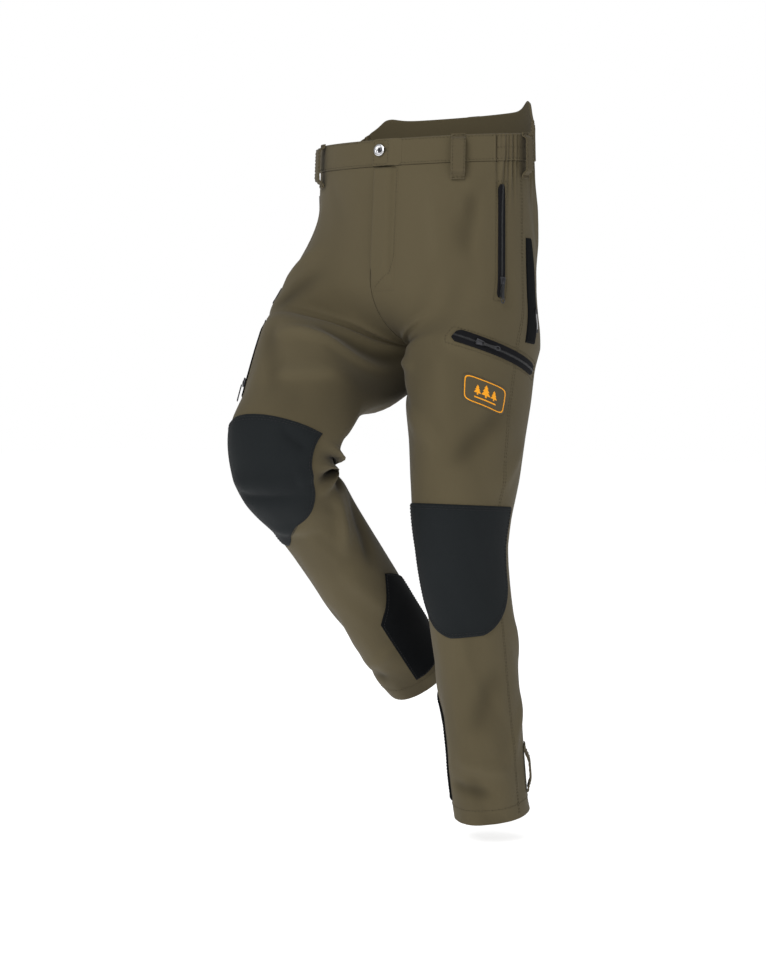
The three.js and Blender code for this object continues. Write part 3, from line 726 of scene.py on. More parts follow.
def clothMaterial(
    name, base, wornAndLit, threads=1500.0, twill=1.0, bump=0.12, depth=0.00025, rough=0.85, sheen=0.06,
    amount=0.5, ribs=None, gloss=0.16
):
    mat, tree, shader = newMaterial(name)
    uv = tree.nodes.new("ShaderNodeUVMap")
    uv.uv_map = "cut"
    # the attribute read here holds painted light and shade: fold heights and the painted shadow between the
    # legs
    painted_shading = tree.nodes.new("ShaderNodeAttribute")
    painted_shading.attribute_name = "painted_shading"
    weave = tree.nodes.new("ShaderNodeGroup")
    weave.node_tree = clothWeave
    weave.inputs["Threads"].default_value = threads
    weave.inputs["Twill"].default_value = twill
    tree.links.new(uv.outputs[0], weave.inputs["Cut"])
    shade = tree.nodes.new("ShaderNodeGroup")
    shade.node_tree = clothMottleAndShading
    shade.inputs["Base"].default_value = (*base, 1)
    shade.inputs["WornAndLit"].default_value = (*wornAndLit, 1)
    shade.inputs["Amount"].default_value = amount
    tree.links.new(uv.outputs[0], shade.inputs["Cut"])
    tree.links.new(painted_shading.outputs["Fac"], shade.inputs["PaintedShading"])
    darker = tree.nodes.new("ShaderNodeMix")
    darker.data_type, darker.blend_type = "RGBA", "MULTIPLY"
    darker.inputs[0].default_value = 0.45
    tree.links.new(shade.outputs["Color"], darker.inputs[6])
    tone = tree.nodes.new("ShaderNodeMapRange")
    tone.inputs["To Min"].default_value = 0.55
    tone.inputs["To Max"].default_value = 1.15
    tree.links.new(weave.outputs["Shade"], tone.inputs["Value"])
    tree.links.new(tone.outputs[0], darker.inputs[7])
    tree.links.new(darker.outputs[2], shader.inputs["Base Color"])
    height = weave.outputs["Height"]
    if ribs:
        wave = tree.nodes.new("ShaderNodeTexWave")
        wave.wave_type, wave.bands_direction = "BANDS", ribs[0]
        wave.inputs["Scale"].default_value = ribs[1]
        tree.links.new(uv.outputs[0], wave.inputs["Vector"])
        height = math2(tree, "ADD", height, math2(tree, "MULTIPLY", wave.outputs["Fac"], ribs[2]))
    slub = math2(tree, "ADD", height, math2(tree, "MULTIPLY", shade.outputs["Fine"], 0.8))
    bumps = tree.nodes.new("ShaderNodeBump")
    bumps.inputs["Strength"].default_value = bump
    bumps.inputs["Distance"].default_value = depth
    tree.links.new(slub, bumps.inputs["Height"])
    tree.links.new(bumps.outputs[0], shader.inputs["Normal"])
    rough2 = tree.nodes.new("ShaderNodeMapRange")
    rough2.inputs["To Min"].default_value = rough - 0.06
    rough2.inputs["To Max"].default_value = rough + 0.06
    tree.links.new(shade.outputs["Fine"], rough2.inputs["Value"])
    tree.links.new(rough2.outputs[0], shader.inputs["Roughness"])
    shader.inputs["Sheen Weight"].default_value = sheen
    shader.inputs["Sheen Roughness"].default_value = 0.5
    shader.inputs["Specular IOR Level"].default_value = gloss
    return mat


def metalMaterial(name, base, rough, metallic=1.0, scratch=0.12):
    mat, tree, shader = newMaterial(name)
    coords = tree.nodes.new("ShaderNodeTexCoord")
    noise1 = tree.nodes.new("ShaderNodeTexNoise")
    noise1.inputs["Scale"].default_value = 900.0
    noise1.inputs["Detail"].default_value = 5.0
    tree.links.new(coords.outputs["Object"], noise1.inputs["Vector"])
    span = tree.nodes.new("ShaderNodeMapRange")
    span.inputs["To Min"].default_value = rough - scratch
    span.inputs["To Max"].default_value = rough + scratch
    tree.links.new(noise1.outputs["Fac"], span.inputs["Value"])
    tree.links.new(span.outputs[0], shader.inputs["Roughness"])
    tint = tree.nodes.new("ShaderNodeMix")
    tint.data_type = "RGBA"
    tint.inputs[6].default_value = (*[c * 0.8 for c in base], 1)
    tint.inputs[7].default_value = (*[min(1, c * 1.15) for c in base], 1)
    tree.links.new(noise1.outputs["Fac"], tint.inputs[0])
    tree.links.new(tint.outputs[2], shader.inputs["Base Color"])
    shader.inputs["Metallic"].default_value = metallic
    bumps = tree.nodes.new("ShaderNodeBump")
    bumps.inputs["Strength"].default_value = 0.1
    bumps.inputs["Distance"].default_value = 0.0001
    tree.links.new(noise1.outputs["Fac"], bumps.inputs["Height"])
    tree.links.new(bumps.outputs[0], shader.inputs["Normal"])
    return mat


olive = clothMaterial("oliveCloth", (0.085, 0.068, 0.036), (0.115, 0.095, 0.055))
oliveBand = clothMaterial("waistbandCloth", (0.085, 0.068, 0.036), (0.115, 0.095, 0.055), threads=1200)
elasticCloth = clothMaterial(
    "gatheredCloth", (0.080, 0.063, 0.034), (0.12, 0.10, 0.058), ribs=("X", 8.0, 0.4)
)
loopCloth = clothMaterial("loopCloth", (0.078, 0.062, 0.034), (0.11, 0.09, 0.052), threads=1100)
kneeCloth = clothMaterial(
    "kneeCloth", (0.0095, 0.0115, 0.0125), (0.022, 0.025, 0.027), threads=1000, twill=0.2, bump=0.35,
    depth=0.0004, rough=0.75, sheen=0.02, gloss=0.07
)
blackCloth = clothMaterial(
    "stretchCloth", (0.003, 0.0036, 0.0042), (0.009, 0.0098, 0.011), threads=1300, twill=1.6, rough=0.8,
    sheen=0.01, gloss=0.04
)
tapeCloth = clothMaterial(
    "zipTape", (0.006, 0.006, 0.007), (0.014, 0.014, 0.016), threads=1100, twill=0.1, bump=0.3, rough=0.75,
    sheen=0.01, gloss=0.06
)
liningCloth = clothMaterial(
    "pocketLining", (0.05, 0.048, 0.038), (0.08, 0.078, 0.06), threads=2200, twill=0.0, sheen=0.1
)
fibreCloth = clothMaterial(
    "fibreCover", (0.55, 0.50, 0.36), (0.66, 0.62, 0.50), threads=700, twill=0.0, bump=0.5, depth=0.0006
)
badgeGround = clothMaterial("badgeGround", (0.075, 0.06, 0.034), (0.10, 0.085, 0.05), threads=1700)
badgeOrange = clothMaterial(
    "badgeOrange", (0.86, 0.33, 0.012), (1.0, 0.45, 0.03), threads=1900, twill=0.3, sheen=0.1
)
labelCloth = clothMaterial(
    "labelCloth", (0.01, 0.01, 0.011), (0.02, 0.02, 0.022), threads=2500, twill=1.5, sheen=0.1
)
labelStripe = clothMaterial(
    "labelStripe", (0.45, 0.45, 0.46), (0.6, 0.6, 0.6), threads=2500, twill=1.5, sheen=0.1
)
oliveThread = clothMaterial("oliveThread", (0.062, 0.050, 0.028), (0.09, 0.073, 0.04), threads=3000)
blackThread = clothMaterial("blackThread", (0.012, 0.012, 0.013), (0.03, 0.03, 0.032), threads=3000)
toothPlastic = metalMaterial("zipTeeth", (0.012, 0.012, 0.013), 0.45, metallic=0.0)
darkMetal = metalMaterial("darkZinc", (0.06, 0.06, 0.065), 0.35, metallic=0.9)
brightMetal = metalMaterial("brightZinc", (0.78, 0.78, 0.80), 0.28)
softBlack = metalMaterial("pullerRubber", (0.010, 0.010, 0.011), 0.6, metallic=0.0)


def wear(obj, material, slot):
    obj.data.materials.clear()
    obj.data.materials.append(material)
    return obj


def onBody(obj, material, slot, body, *nodes):
    wear(obj, material, slot)
    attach(obj, body)
    if nodes:
        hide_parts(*nodes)
    return obj


# planes of the hip bend, and rings round the legs at the hip and the knee bends
def zoneLevel(side, u, distance):
    # how far down the cloth meets a plane of the hip bend
    low, high = np.full_like(u, 60.0), np.full_like(u, 620.0)
    for _ in range(40):
        mid = (low + high) / 2
        near = zoneDistance(straight(u, mid), side) < distance
        low, high = np.where(near, mid, low), np.where(near, high, mid)
    return low


def ringOf(side, level, kind):
    # points round the leg at a plane of the hip bend, or at a level down the leg
    u = np.linspace(0, 1, 48, endpoint=False)
    v = np.full_like(u, level) if kind == "level" else zoneLevel(side, u, level)
    return spot(side, u, v, flat=True)


def splitOf(side):
    return cloth["splitLeft" if side == "left" else "splitRight"]


for side in ("left", "right"):
    st = stance[side]
    split = splitOf(side)
    a, b = ringOf(side, 0, "plane").mean(0), ringOf(side, st["hipZone"], "plane").mean(0)
    way = (b - a) / np.linalg.norm(b - a)
    if side == "left":
        way = np.array(hipBend["direction"])
        b = a + way * st["hipZone"] * mm
    endMost = (ringOf(side, split, "level") @ way).min() - 0.004
    far = min(b @ way, endMost)
    kneeTop, kneeEnd = -(st["kneeLevel"] + st["kneeHalf"]), -(st["kneeLevel"] - st["kneeHalf"])
    a, b = ringOf(side, kneeTop, "level").mean(0), ringOf(side, kneeEnd, "level").mean(0)
    way = (b - a) / np.linalg.norm(b - a)
    first = (ringOf(side, split, "level") @ way).max() + 0.003


def follows(obj, material, slot, side, joint, *nodes):
    # cloth over the hip or the knee: gives it its material, bakes its place and hides the frame's pieces
    wear(obj, material, slot)
    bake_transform(obj)
    if nodes:
        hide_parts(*nodes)
    return obj


# stores per point the painted light and shade that the cloth's colour reads
def setPaintedShading(obj, values):
    layer = obj.data.attributes.get("painted_shading") or obj.data.attributes.new("painted_shading", "FLOAT", "POINT")
    layer.data.foreach_set("value", np.asarray(values, np.float32))


# the main cloth: from the waistband to above the knee, and from there to the hem
def trouserCloth(name, side, v0, v1):
    n = grid["around"]
    rows = int(round((v1 - v0) / grid["step"]))
    vs = np.linspace(v0, v1, rows + 1)
    seamRow = int(np.searchsorted(vs, 306.0))
    u = np.arange(n + 1) / n
    u[0], u[-1] = 0.0006, 0.9994
    uu, vv = np.meshgrid(u, vs)
    closedU = uu.copy()
    closedU[seamRow:, 0] = 0.0
    tops = spot(side, closedU, vv, 0.0).reshape(-1, 3)
    lows = spot(side, closedU, vv, -cloth["thickness"]).reshape(-1, 3)
    total = (n + 1) * (rows + 1)
    ids = np.arange(total).reshape(rows + 1, n + 1)
    ids[seamRow:, n] = ids[seamRow:, 0]
    a, b, c, d = ids[:-1, :-1].ravel(), ids[:-1, 1:].ravel(), ids[1:, 1:].ravel(), ids[1:, :-1].ravel()
    top = np.stack([a, b, c, d], 1)
    faces = [top, top[:, ::-1] + total]
    e = ids[0]
    faces.append(np.stack([e[:-1] + total, e[1:] + total, e[1:], e[:-1]], 1))
    e = ids[-1]
    faces.append(np.stack([e[:-1], e[1:], e[1:] + total, e[:-1] + total], 1))
    if seamRow > 0:
        e = ids[: seamRow + 1, 0]
        faces.append(np.stack([e[:-1], e[1:], e[1:] + total, e[:-1] + total], 1))
        e = ids[: seamRow + 1, n]
        faces.append(np.stack([e[:-1] + total, e[1:] + total, e[1:], e[:-1]], 1))
    faces = np.concatenate(faces)
    used = np.unique(faces)
    remap = np.full(2 * total, -1)
    remap[used] = np.arange(len(used))
    points = np.concatenate([tops, lows])[used]
    cut = np.stack([(uu - 0.5) * girth(vv) * mm, vv * mm], -1).reshape(-1, 2)
    obj = makeObject(name, points, remap[faces], np.concatenate([cut, cut])[used])
    # painted light and shade for the colour: the fold heights, less a painted shadow between the legs that
    # is stronger on the raised right leg
    high = wrinkles(uu, vv, side).ravel()
    between = np.minimum(np.abs(uu), np.abs(1 - uu))
    crotchShadeMask = np.exp(-(between / 0.09) ** 2) * smooth((vv - 275) / 60) * smooth((500 - vv) / 120)
    shadow = crotchShadeMask.ravel() * (1.1 if side == "right" else 0.55)
    setPaintedShading(obj, np.concatenate([high / 8.0 - shadow, high / 8.0 - shadow])[used])
    activate(obj)
    bpy.ops.object.shade_smooth_by_angle(angle=55 * rad)
    return obj


for side in ("left", "right"):
    split = splitOf(side)
    upper = trouserCloth("upper_" + side, side, trunk["bandHeight"] + 0.4, split)
    lower = trouserCloth("lower_" + side, side, split, grid["hem"])
    follows(
        upper, olive, "olive_fabric", side, "hip", "hip_front_" + side, "hip_back_" + side,
        "hip_bend_" + side, "thigh_" + side
    )
    follows(lower, olive, "olive_fabric", side, "knee", "knee_bend_" + side, "shin_" + side)
print("stage: main cloth")

# waistband
band = {"low": -2.0, "high": 1.6, "edge": 1.8, "corner": 15.0, "rightCorner": 5.0, "cornerU": 0.722}
elastic = {"from": 0.37, "to": 0.66}
bandEnd = float(trunk["bandHeight"])
tab = {
    "from": -0.005, "to": 0.0755, "sewnTo": 0.083, "low": 2.3, "high": 4.3, "holeU": (0.004, 0.036),
    "holeV": (14.2, 19.4)
}


def bandTop(u, corner):
    # the back stands up, with a peaked corner where the rise begins
    past, before = np.maximum(u - band["cornerU"], 0), np.maximum(band["cornerU"] - u, 0)
    peak = corner * np.exp(-(past / 0.05) ** 2 - (before / 0.022) ** 2)
    return -trunk["backRise"] * smooth((u - 0.56) / 0.19) - peak


def cornerOf(side):
    return band["corner" if side == "left" else "rightCorner"]


def across(u0, u1):
    return lambda a, b: mix(u0, u1, a)


def down(v0, v1):
    return lambda a, b: mix(v0 + 0 * a, v1 + 0 * a, b)


for side in ("left", "right"):
    first = tab["to"] + 0.001 if side == "left" else 0.0006
    front = lay(
        "waistband_front_" + side, side, across(first, elastic["from"] - 0.0008), down(0, bandEnd), 90, 22,
        band["low"], band["high"], band["edge"]
    )
    onBody(front, oliveBand, "olive_fabric", "trunk", "waistband_front_" + side)
    gathered = lay(
        "waistband_elastic_" + side, side, across(elastic["from"], elastic["to"]),
        lambda a, b, side=side: mix(
            bandTop(mix(elastic["from"], elastic["to"], a), cornerOf(side)), bandEnd, b
        ),
        150, 26, band["low"], band["high"], band["edge"]
    )
    onBody(gathered, elasticCloth, "elastic", "trunk", "waistband_elastic_" + side)


def backPlace(a, b, k):
    leftHalf = a <= 0.5
    u = np.where(
        leftHalf, mix(elastic["to"] + 0.0008, 1.0, a * 2), mix(1.0, elastic["to"] + 0.0008, a * 2 - 1)
    )
    corner = np.where(leftHalf, cornerOf("left"), cornerOf("right"))
    v = mix(bandTop(u, corner), bandEnd, b)
    height = bandEnd - bandTop(u, corner)
    near = np.minimum(b, 1 - b) * height
    t = np.clip(near / band["edge"], 0, 1)
    crown = 0.25 + 0.75 * np.sqrt(1 - (1 - t) ** 2)
    off = band["low"] if k == 0 else band["low"] + (band["high"] - band["low"]) * crown
    off = off * np.ones_like(u)
    l, r = spot("left", u, v, off), spot("right", u, v, off)
    middle = np.abs(a - 0.5) < 1e-9
    p = np.where(leftHalf[..., None], l, r)
    p[..., 0] = np.where(middle, 0.0, p[..., 0])
    return p


back = slabMesh("waistband_back", backPlace, 220, 34, uvOf=lambda a, b: ((a - 0.5) * 0.34, b * 0.078))
onBody(back, oliveBand, "olive_fabric", "trunk", "waistband_back")

end = lay(
    "waistband_end", "left", across(0.0006, tab["to"]), down(0, bandEnd), 16, 20, band["low"], band["high"],
    band["edge"]
)
onBody(end, oliveBand, "olive_fabric", "trunk", "waistband_end")


def holeOf():
    # middle and half size of the buttonhole
    (u0, u1), (v0, v1) = tab["holeU"], tab["holeV"]
    return (u0 + u1) / 2, (v0 + v1) / 2, (u1 - u0) / 2, (v1 - v0) / 2


def tabPlace(a, b, k):
    # rings from the buttonhole out to the rounded outline
    ang = a * 2 * np.pi
    hu, hv, ru, rv = holeOf()
    cu, cv = (tab["from"] + tab["sewnTo"]) / 2, 20.0
    wu, wv = (tab["sewnTo"] - tab["from"]) / 2, 20.0
    c, s = np.cos(ang), np.sin(ang)
    inU, inV = hu + ru * c, hv + rv * s
    p = 9.0
    reach = (np.abs(c) ** p + np.abs(s) ** p) ** (-1 / p)
    outU, outV = cu + wu * c * reach, cv + wv * s * reach
    t = b ** 1.15
    u, v = mix(inU, outU, t), mix(inV, outV, t)
    beside = np.minimum(u - tab["from"], tab["sewnTo"] - u) * trunkGirth
    near = np.minimum(beside, np.minimum(v, bandEnd - v))
    hole = np.hypot((u - inU) * trunkGirth, v - inV)
    q = np.clip(np.minimum(np.abs(near), hole * 2) / 1.4, 0, 1)
    sewn = smooth((u - (tab["sewnTo"] - 0.032)) / 0.024)
    top = mix(
        tab["low"] + (tab["high"] - tab["low"]) * (0.3 + 0.7 * np.sqrt(1 - (1 - q) ** 2)),
        band["high"] + 0.12, sewn
    )
    off = mix(tab["low"], band["high"] - 1.2, sewn) if k == 0 else top
    return spot("left", u, v, off * np.ones_like(u))


waistTab = slabMesh("waist_tab", tabPlace, 160, 30, wraps=True, uvOf=roundCut(0.02, 0.02))
onBody(waistTab, oliveBand, "olive_fabric", "waist_tab", "waist_tab")

button = {"u": 0.02, "v": 16.8, "radius": 8.5, "hole": 4.0, "base": 1.75, "top": 8.4}


def makeButton():
    ring = discOf("ring", button["radius"], 2.6, (0, 0, button["top"] - 1.7), 64)
    editing(ring)
    pickFaces(ring, lambda c, n: n.z > 0.9)
    bpy.ops.mesh.inset(thickness=2.6)
    bpy.ops.transform.translate(value=(0, 0, 0.5))
    bpy.ops.mesh.inset(thickness=1.7)
    bpy.ops.transform.translate(value=(0, 0, -1.6))
    bpy.ops.mesh.inset(thickness=0.4)
    bpy.ops.transform.translate(value=(0, 0, -0.5))
    done(ring)
    softened(ring, 0.35, 3, 25)
    centre = discOf("centre", 3.4, 0.8, (0, 0, button["top"] - 2.0))
    editing(centre)
    pickFaces(centre, lambda c, n: n.z > 0.9)
    bpy.ops.mesh.inset(thickness=1.2)
    bpy.ops.transform.translate(value=(0, 0, 0.35))
    bpy.ops.mesh.inset(thickness=1.0)
    bpy.ops.transform.translate(value=(0, 0, -0.3))
    done(centre)
    softened(centre, 0.15, 2, 20)
    shank = discOf("shank", 2.0, 4.0, (0, 0, button["base"] + 2.0), 32)
    editing(shank)
    pickFaces(shank, lambda c, n: n.z < -0.9)
    bpy.ops.mesh.inset(thickness=0.4)
    bpy.ops.transform.translate(value=(0, 0, 0.2))
    done(shank)
    softened(shank, 0.2, 2, 30)
    shell = joined("waist_button", [ring, shank])
    centre.name = centre.data.name = "waist_button_centre"
    return shell, centre


buttonShell, buttonCentre = makeButton()
for piece, material in ((buttonShell, brightMetal), (buttonCentre, darkMetal)):
    place(piece, "left", button["u"], button["v"])
    onBody(piece, material, "zinc_hardware", "trunk")
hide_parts("waist_button")
print("stage: waistband")

# belt loops
loop = {"width": 20, "gap": 7.2, "thickness": 2.2, "length": 66, "foot": 2.5}


def curveThrough(pts, n):
    # even points on a smooth curve through a few chosen ones
    pts = np.array(pts, float)
    ext = np.vstack([2 * pts[0] - pts[1], pts, 2 * pts[-1] - pts[-2]])
    out = []
    for i in range(len(pts) - 1):
        p0, p1, p2, p3 = ext[i:i + 4]
        t = (np.arange(12) / 12)[:, None]
        arc = 2 * p1 + (p2 - p0) * t + (2 * p0 - 5 * p1 + 4 * p2 - p3) * t ** 2
        out.append(0.5 * (arc + (3 * p1 - p0 - 3 * p2 + p3) * t ** 3))
    line = np.concatenate(out + [pts[-1:]])
    dist = np.concatenate([[0], np.cumsum(np.linalg.norm(np.diff(line, axis=0), axis=1))])
    at = np.linspace(0, dist[-1], n)
    return np.stack([np.interp(at, dist, line[:, k]) for k in range(line.shape[1])], -1)


def strap(name, side, u, v, centre, width, thickness, steps=64, shift=0.0):
    # a flat band standing off the cloth: centre gives (down, out) places along it
    line = curveThrough(centre, steps)
    tangent = np.gradient(line, axis=0)
    tangent /= np.linalg.norm(tangent, axis=1, keepdims=True)
    normal = np.stack([-tangent[:, 1], tangent[:, 0]], -1)
    perU = float(girth(np.array(v + 20.0)))
    section = []
    for a in np.arange(20) * 2 * np.pi / 20:
        c, s = math.cos(a), math.sin(a)
        k = (abs(c) ** 5 + abs(s) ** 5) ** -0.2
        section.append((c * k * width / 2, s * k * thickness / 2))
    section = np.array(section)
    points, uvs = [], []
    for i, (p, q) in enumerate(zip(line, normal)):
        pucker = 0.25 * math.sin(i * 0.9)
        off = p[1] + section[:, 1] * q[1] + pucker * (np.abs(section[:, 0]) / width * 2) ** 2
        points.append(spot(side, u + section[:, 0] / perU, v + p[0] + section[:, 1] * q[0], off, flat=True))
        uvs.append(np.stack([section[:, 0] * mm, np.full(len(section), (v + p[0]) * mm)], -1))
    n = len(section)
    pts = np.concatenate(points)
    pts[:, 0] += shift * mm
    faces = []
    for i in range(len(line) - 1):
        for k in range(n):
            k2 = (k + 1) % n
            faces.append((i * n + k, i * n + k2, (i + 1) * n + k2, (i + 1) * n + k))
    faces.append(tuple(range(n))[::-1])
    last = (len(line) - 1) * n
    faces.append(tuple(last + k for k in range(n)))
    obj = makeObject(name, pts, faces, np.concatenate(uvs))
    activate(obj)
    bpy.ops.object.shade_smooth_by_angle(angle=50 * rad)
    rows = []
    for across1 in (-width / 2 + 2.2, width / 2 - 2.2):
        outer = line + normal * (thickness / 2 + 0.05)
        inner = line + normal * (thickness / 2 + 1.0)
        p = spot(side, np.full(len(line), u + across1 / perU), v + outer[:, 0], outer[:, 1], flat=True)
        q = spot(side, np.full(len(line), u + across1 / perU), v + inner[:, 0], inner[:, 1], flat=True)
        p[:, 0] += shift * mm
        q[:, 0] += shift * mm
        rows.append((p, (q - p) / mm))
    return obj, rows


def loopLine():
    b, g, t, n = loop["foot"], loop["gap"], loop["thickness"] / 2, loop["length"]
    return [
        (0, b + t), (4, b + t), (7, b + t + g * 0.45), (10, b + g + t), (22, b + g + t + 0.4),
        (n - 22, b + g + t + 0.4), (n - 12, b + g + t), (n - 8, b + t + g * 0.45), (n - 5, b + t),
        (n, b + t)
    ]


loops = [
    ("belt_loop_front_left", "left", 0.245, -1, 0), ("belt_loop_front_right", "right", 0.245, -1, 0),
    ("belt_loop_side_left", "left", 0.5, -1, 0), ("belt_loop_side_right", "right", 0.5, -1, 0),
    ("belt_loop_back", "left", 1.0, -39, -0.2)
]
loopRows = []
for name, side, u, v, shift in loops:
    piece, rows = strap(name, side, u, v, loopLine(), loop["width"], loop["thickness"], shift=shift)
    onBody(piece, loopCloth, "loop_fabric", "trunk", name)
    loopRows += rows
    perU = float(girth(np.array(v + 20.0)))
    for dv in (2.2, loop["length"] - 2.2):
        uu, vv = mix(u - 8 / perU, u + 8 / perU, np.linspace(0, 1, 12)), np.full(12, v + dv)
        p = spot(side, uu, vv, loop["foot"] + loop["thickness"] + seamLift, flat=True)
        q = spot(side, uu, vv, loop["foot"] + loop["thickness"] + seamLift + 1, flat=True)
        p[:, 0] += shift * mm
        q[:, 0] += shift * mm
        loopRows.append((p, (q - p) / mm))
stitches = stitchMesh("loop_stitches", loopRows)
onBody(stitches, oliveThread, "loop_fabric", "trunk")
print("stage: belt loops")

# zips
tooth = {"pitch": 1.7, "length": 2.6, "width": 1.0, "height": 0.8}


def zipTeeth(name, side, line, off):
    # two rows of interlocking teeth along a line on the garment
    pts, outs = pathOn(side, line, off, 1.0)
    seg = np.linalg.norm(np.diff(pts, axis=0), axis=1)
    dist = np.concatenate([[0], np.cumsum(seg)]) / mm
    n = int(dist[-1] / tooth["pitch"])
    w, h, l = tooth["width"] / 2, tooth["height"], tooth["length"]
    shape = [
        (-w, 0, 0), (w, 0, 0), (w * 0.7, 0, h), (-w * 0.7, 0, h), (-w, l * 0.6, 0), (w, l * 0.6, 0),
        (w * 0.7, l * 0.6, h), (-w * 0.7, l * 0.6, h), (-w * 0.5, l, 0.1), (w * 0.5, l, 0.1),
        (w * 0.4, l, h * 0.8), (-w * 0.4, l, h * 0.8)
    ]
    shape = np.array(shape)
    quads = [
        (0, 1, 2, 3), (0, 4, 5, 1), (1, 5, 6, 2), (2, 6, 7, 3), (3, 7, 4, 0), (4, 8, 9, 5), (5, 9, 10, 6),
        (6, 10, 11, 7), (7, 11, 8, 4), (8, 11, 10, 9)
    ]
    points, faces = [], []
    for i in range(n * 2):
        d = (i + 0.5) * dist[-1] / (n * 2)
        c = np.array([np.interp(d, dist, pts[:, k]) for k in range(3)])
        c2 = np.array([np.interp(min(d + 0.6, dist[-1]), dist, pts[:, k]) for k in range(3)])
        c1 = np.array([np.interp(max(d - 0.6, 0), dist, pts[:, k]) for k in range(3)])
        out = np.array([np.interp(d, dist, outs[:, k]) for k in range(3)])
        out /= np.linalg.norm(out)
        along = (c2 - c1) / np.linalg.norm(c2 - c1)
        turn = 1 if i % 2 else -1
        sideways = np.cross(out, along) * turn
        base = c - sideways * 0.6 * mm
        turned = along[None] * shape[:, :1] * turn + sideways[None] * shape[:, 1:2]
        turned = turned + out[None] * shape[:, 2:]
        points.append(base + turned * mm)
        faces += [tuple(q + i * 12 for q in f) for f in quads]
    return makeObject(name, np.concatenate(points), faces)


def zipOn(name, side, line, width, low, high, joint=None):
    # woven tape with a groove under the teeth, and the teeth
    t = np.linspace(0, 1, len(line))

    def hold(obj, material, *nodes):
        if joint:
            follows(obj, material, "zip_tape", side, joint, *nodes)
        else:
            onBody(obj, material, "zip_tape", "trunk", *nodes)

    def at(b, k):
        return np.interp(np.clip(b, 0, 1), t, [x[k] for x in line])

    def tapePlace(a, b, k):
        u, v = at(b, 0), at(b, 1)
        du, dv = at(b + 0.02, 0) - at(b - 0.02, 0), at(b + 0.02, 1) - at(b - 0.02, 1)
        g = girth(v)
        length = np.hypot(du * g, dv)
        off = (a - 0.5) * width * np.minimum(1, 0.55 + 3.0 * np.minimum(b, 1 - b) * 4)
        uu, vv = u + dv / length * off / g, v - du * g / length * off
        middle = np.exp(-(off / 1.5) ** 2)
        edge = np.clip((width / 2 - np.abs(off)) / 1.2, 0, 1)
        lift = low if k == 0 else low + (high - low) * (0.4 + 0.6 * edge) - 0.35 * middle
        return spot(side, uu, vv, lift * np.ones_like(uu))

    long = 0
    for a, b in zip(line[:-1], line[1:]):
        long += math.hypot((b[0] - a[0]) * float(girth(np.array(a[1]))), b[1] - a[1])
    tape = slabMesh(
        name, tapePlace, 16, max(20, int(long / 3)), uvOf=lambda a, b: (a * width * mm, b * long * mm)
    )
    hold(tape, tapeCloth, name)
    hold(zipTeeth(name + "_teeth", side, line, high - 0.35), toothPlastic)


def steps(line, n=24):
    pts = np.array(line, float)
    t = np.linspace(0, len(pts) - 1, n)
    return [(np.interp(x, range(len(pts)), pts[:, 0]), np.interp(x, range(len(pts)), pts[:, 1])) for x in t]


def makeSlider(name, length, width, height):
    body = boxOf(name, (width, length, height), (0, 0, height / 2))
    editing(body)
    pickFaces(body, lambda c, n: n.y > 0.9)
    bpy.ops.transform.resize(value=(0.72, 1, 0.9), center_override=(0, length / 2, height / 2))
    pickFaces(body, lambda c, n: n.z > 0.9)
    bpy.ops.mesh.inset(thickness=1.1)
    bpy.ops.transform.translate(value=(0, 0, -0.45))
    bpy.ops.mesh.inset(thickness=0.9)
    bpy.ops.transform.translate(value=(0, 0, 0.4))
    pickFaces(body, lambda c, n: abs(n.x) > 0.8)
    bpy.ops.mesh.inset(thickness=0.5)
    bpy.ops.transform.resize(value=(0.9, 1, 1), center_override=(0, 0, height / 2))
    done(body)
    return softened(body, 0.3, 3, 25)


def makePuller(name):
    # a slim coated tag with an eyelet at its far end; its hinge end is at the origin
    w, l, t = pull["width"] / 2, pull["length"], pull["thickness"]
    tag = boxOf(name, (pull["width"] * 0.62, l * 0.70, t), (0, l * 0.35, t / 2))
    editing(tag)
    bpy.ops.mesh.select_all(action="SELECT")
    bpy.ops.mesh.subdivide(number_cuts=5)
    done(tag)
    for v in tag.data.vertices:
        s = v.co.y / l
        v.co.x *= 1.0 - 0.30 * math.sin(math.pi * min(1, s / 0.7)) + 0.12 * s
        v.co.z = t / 2 + (v.co.z - t / 2) * (1.0 - 0.12 * abs(v.co.x) / w)
    ribs = [
        boxOf("rib", (pull["width"] * 0.42, 0.7, 0.5), (0, l * (0.2 + 0.09 * k), t * 0.98))
        for k in range(5)
    ]
    for r in ribs:
        softened(r, 0.15, 2, 30)
    softened(tag, 0.35, 3, 30)
    body = joined(name, [tag] + ribs)
    bpy.ops.object.select_all(action="DESELECT")
    bpy.ops.mesh.primitive_torus_add(
        major_radius=w - 0.75, minor_radius=0.72, major_segments=40, minor_segments=12,
        location=(0, l - w, t / 2)
    )
    ring = bpy.context.object
    ring.name = ring.data.name = name + "_eyelet"
    for v in ring.data.vertices:
        v.co.y *= 1.25
        v.co.z *= 1.05
    bpy.ops.object.transform_apply(location=True, rotation=True, scale=True)
    for v in ring.data.vertices:
        v.co.y -= 0.7
    ring.data.polygons.foreach_set("use_smooth", [True] * len(ring.data.polygons))
    return body, ring


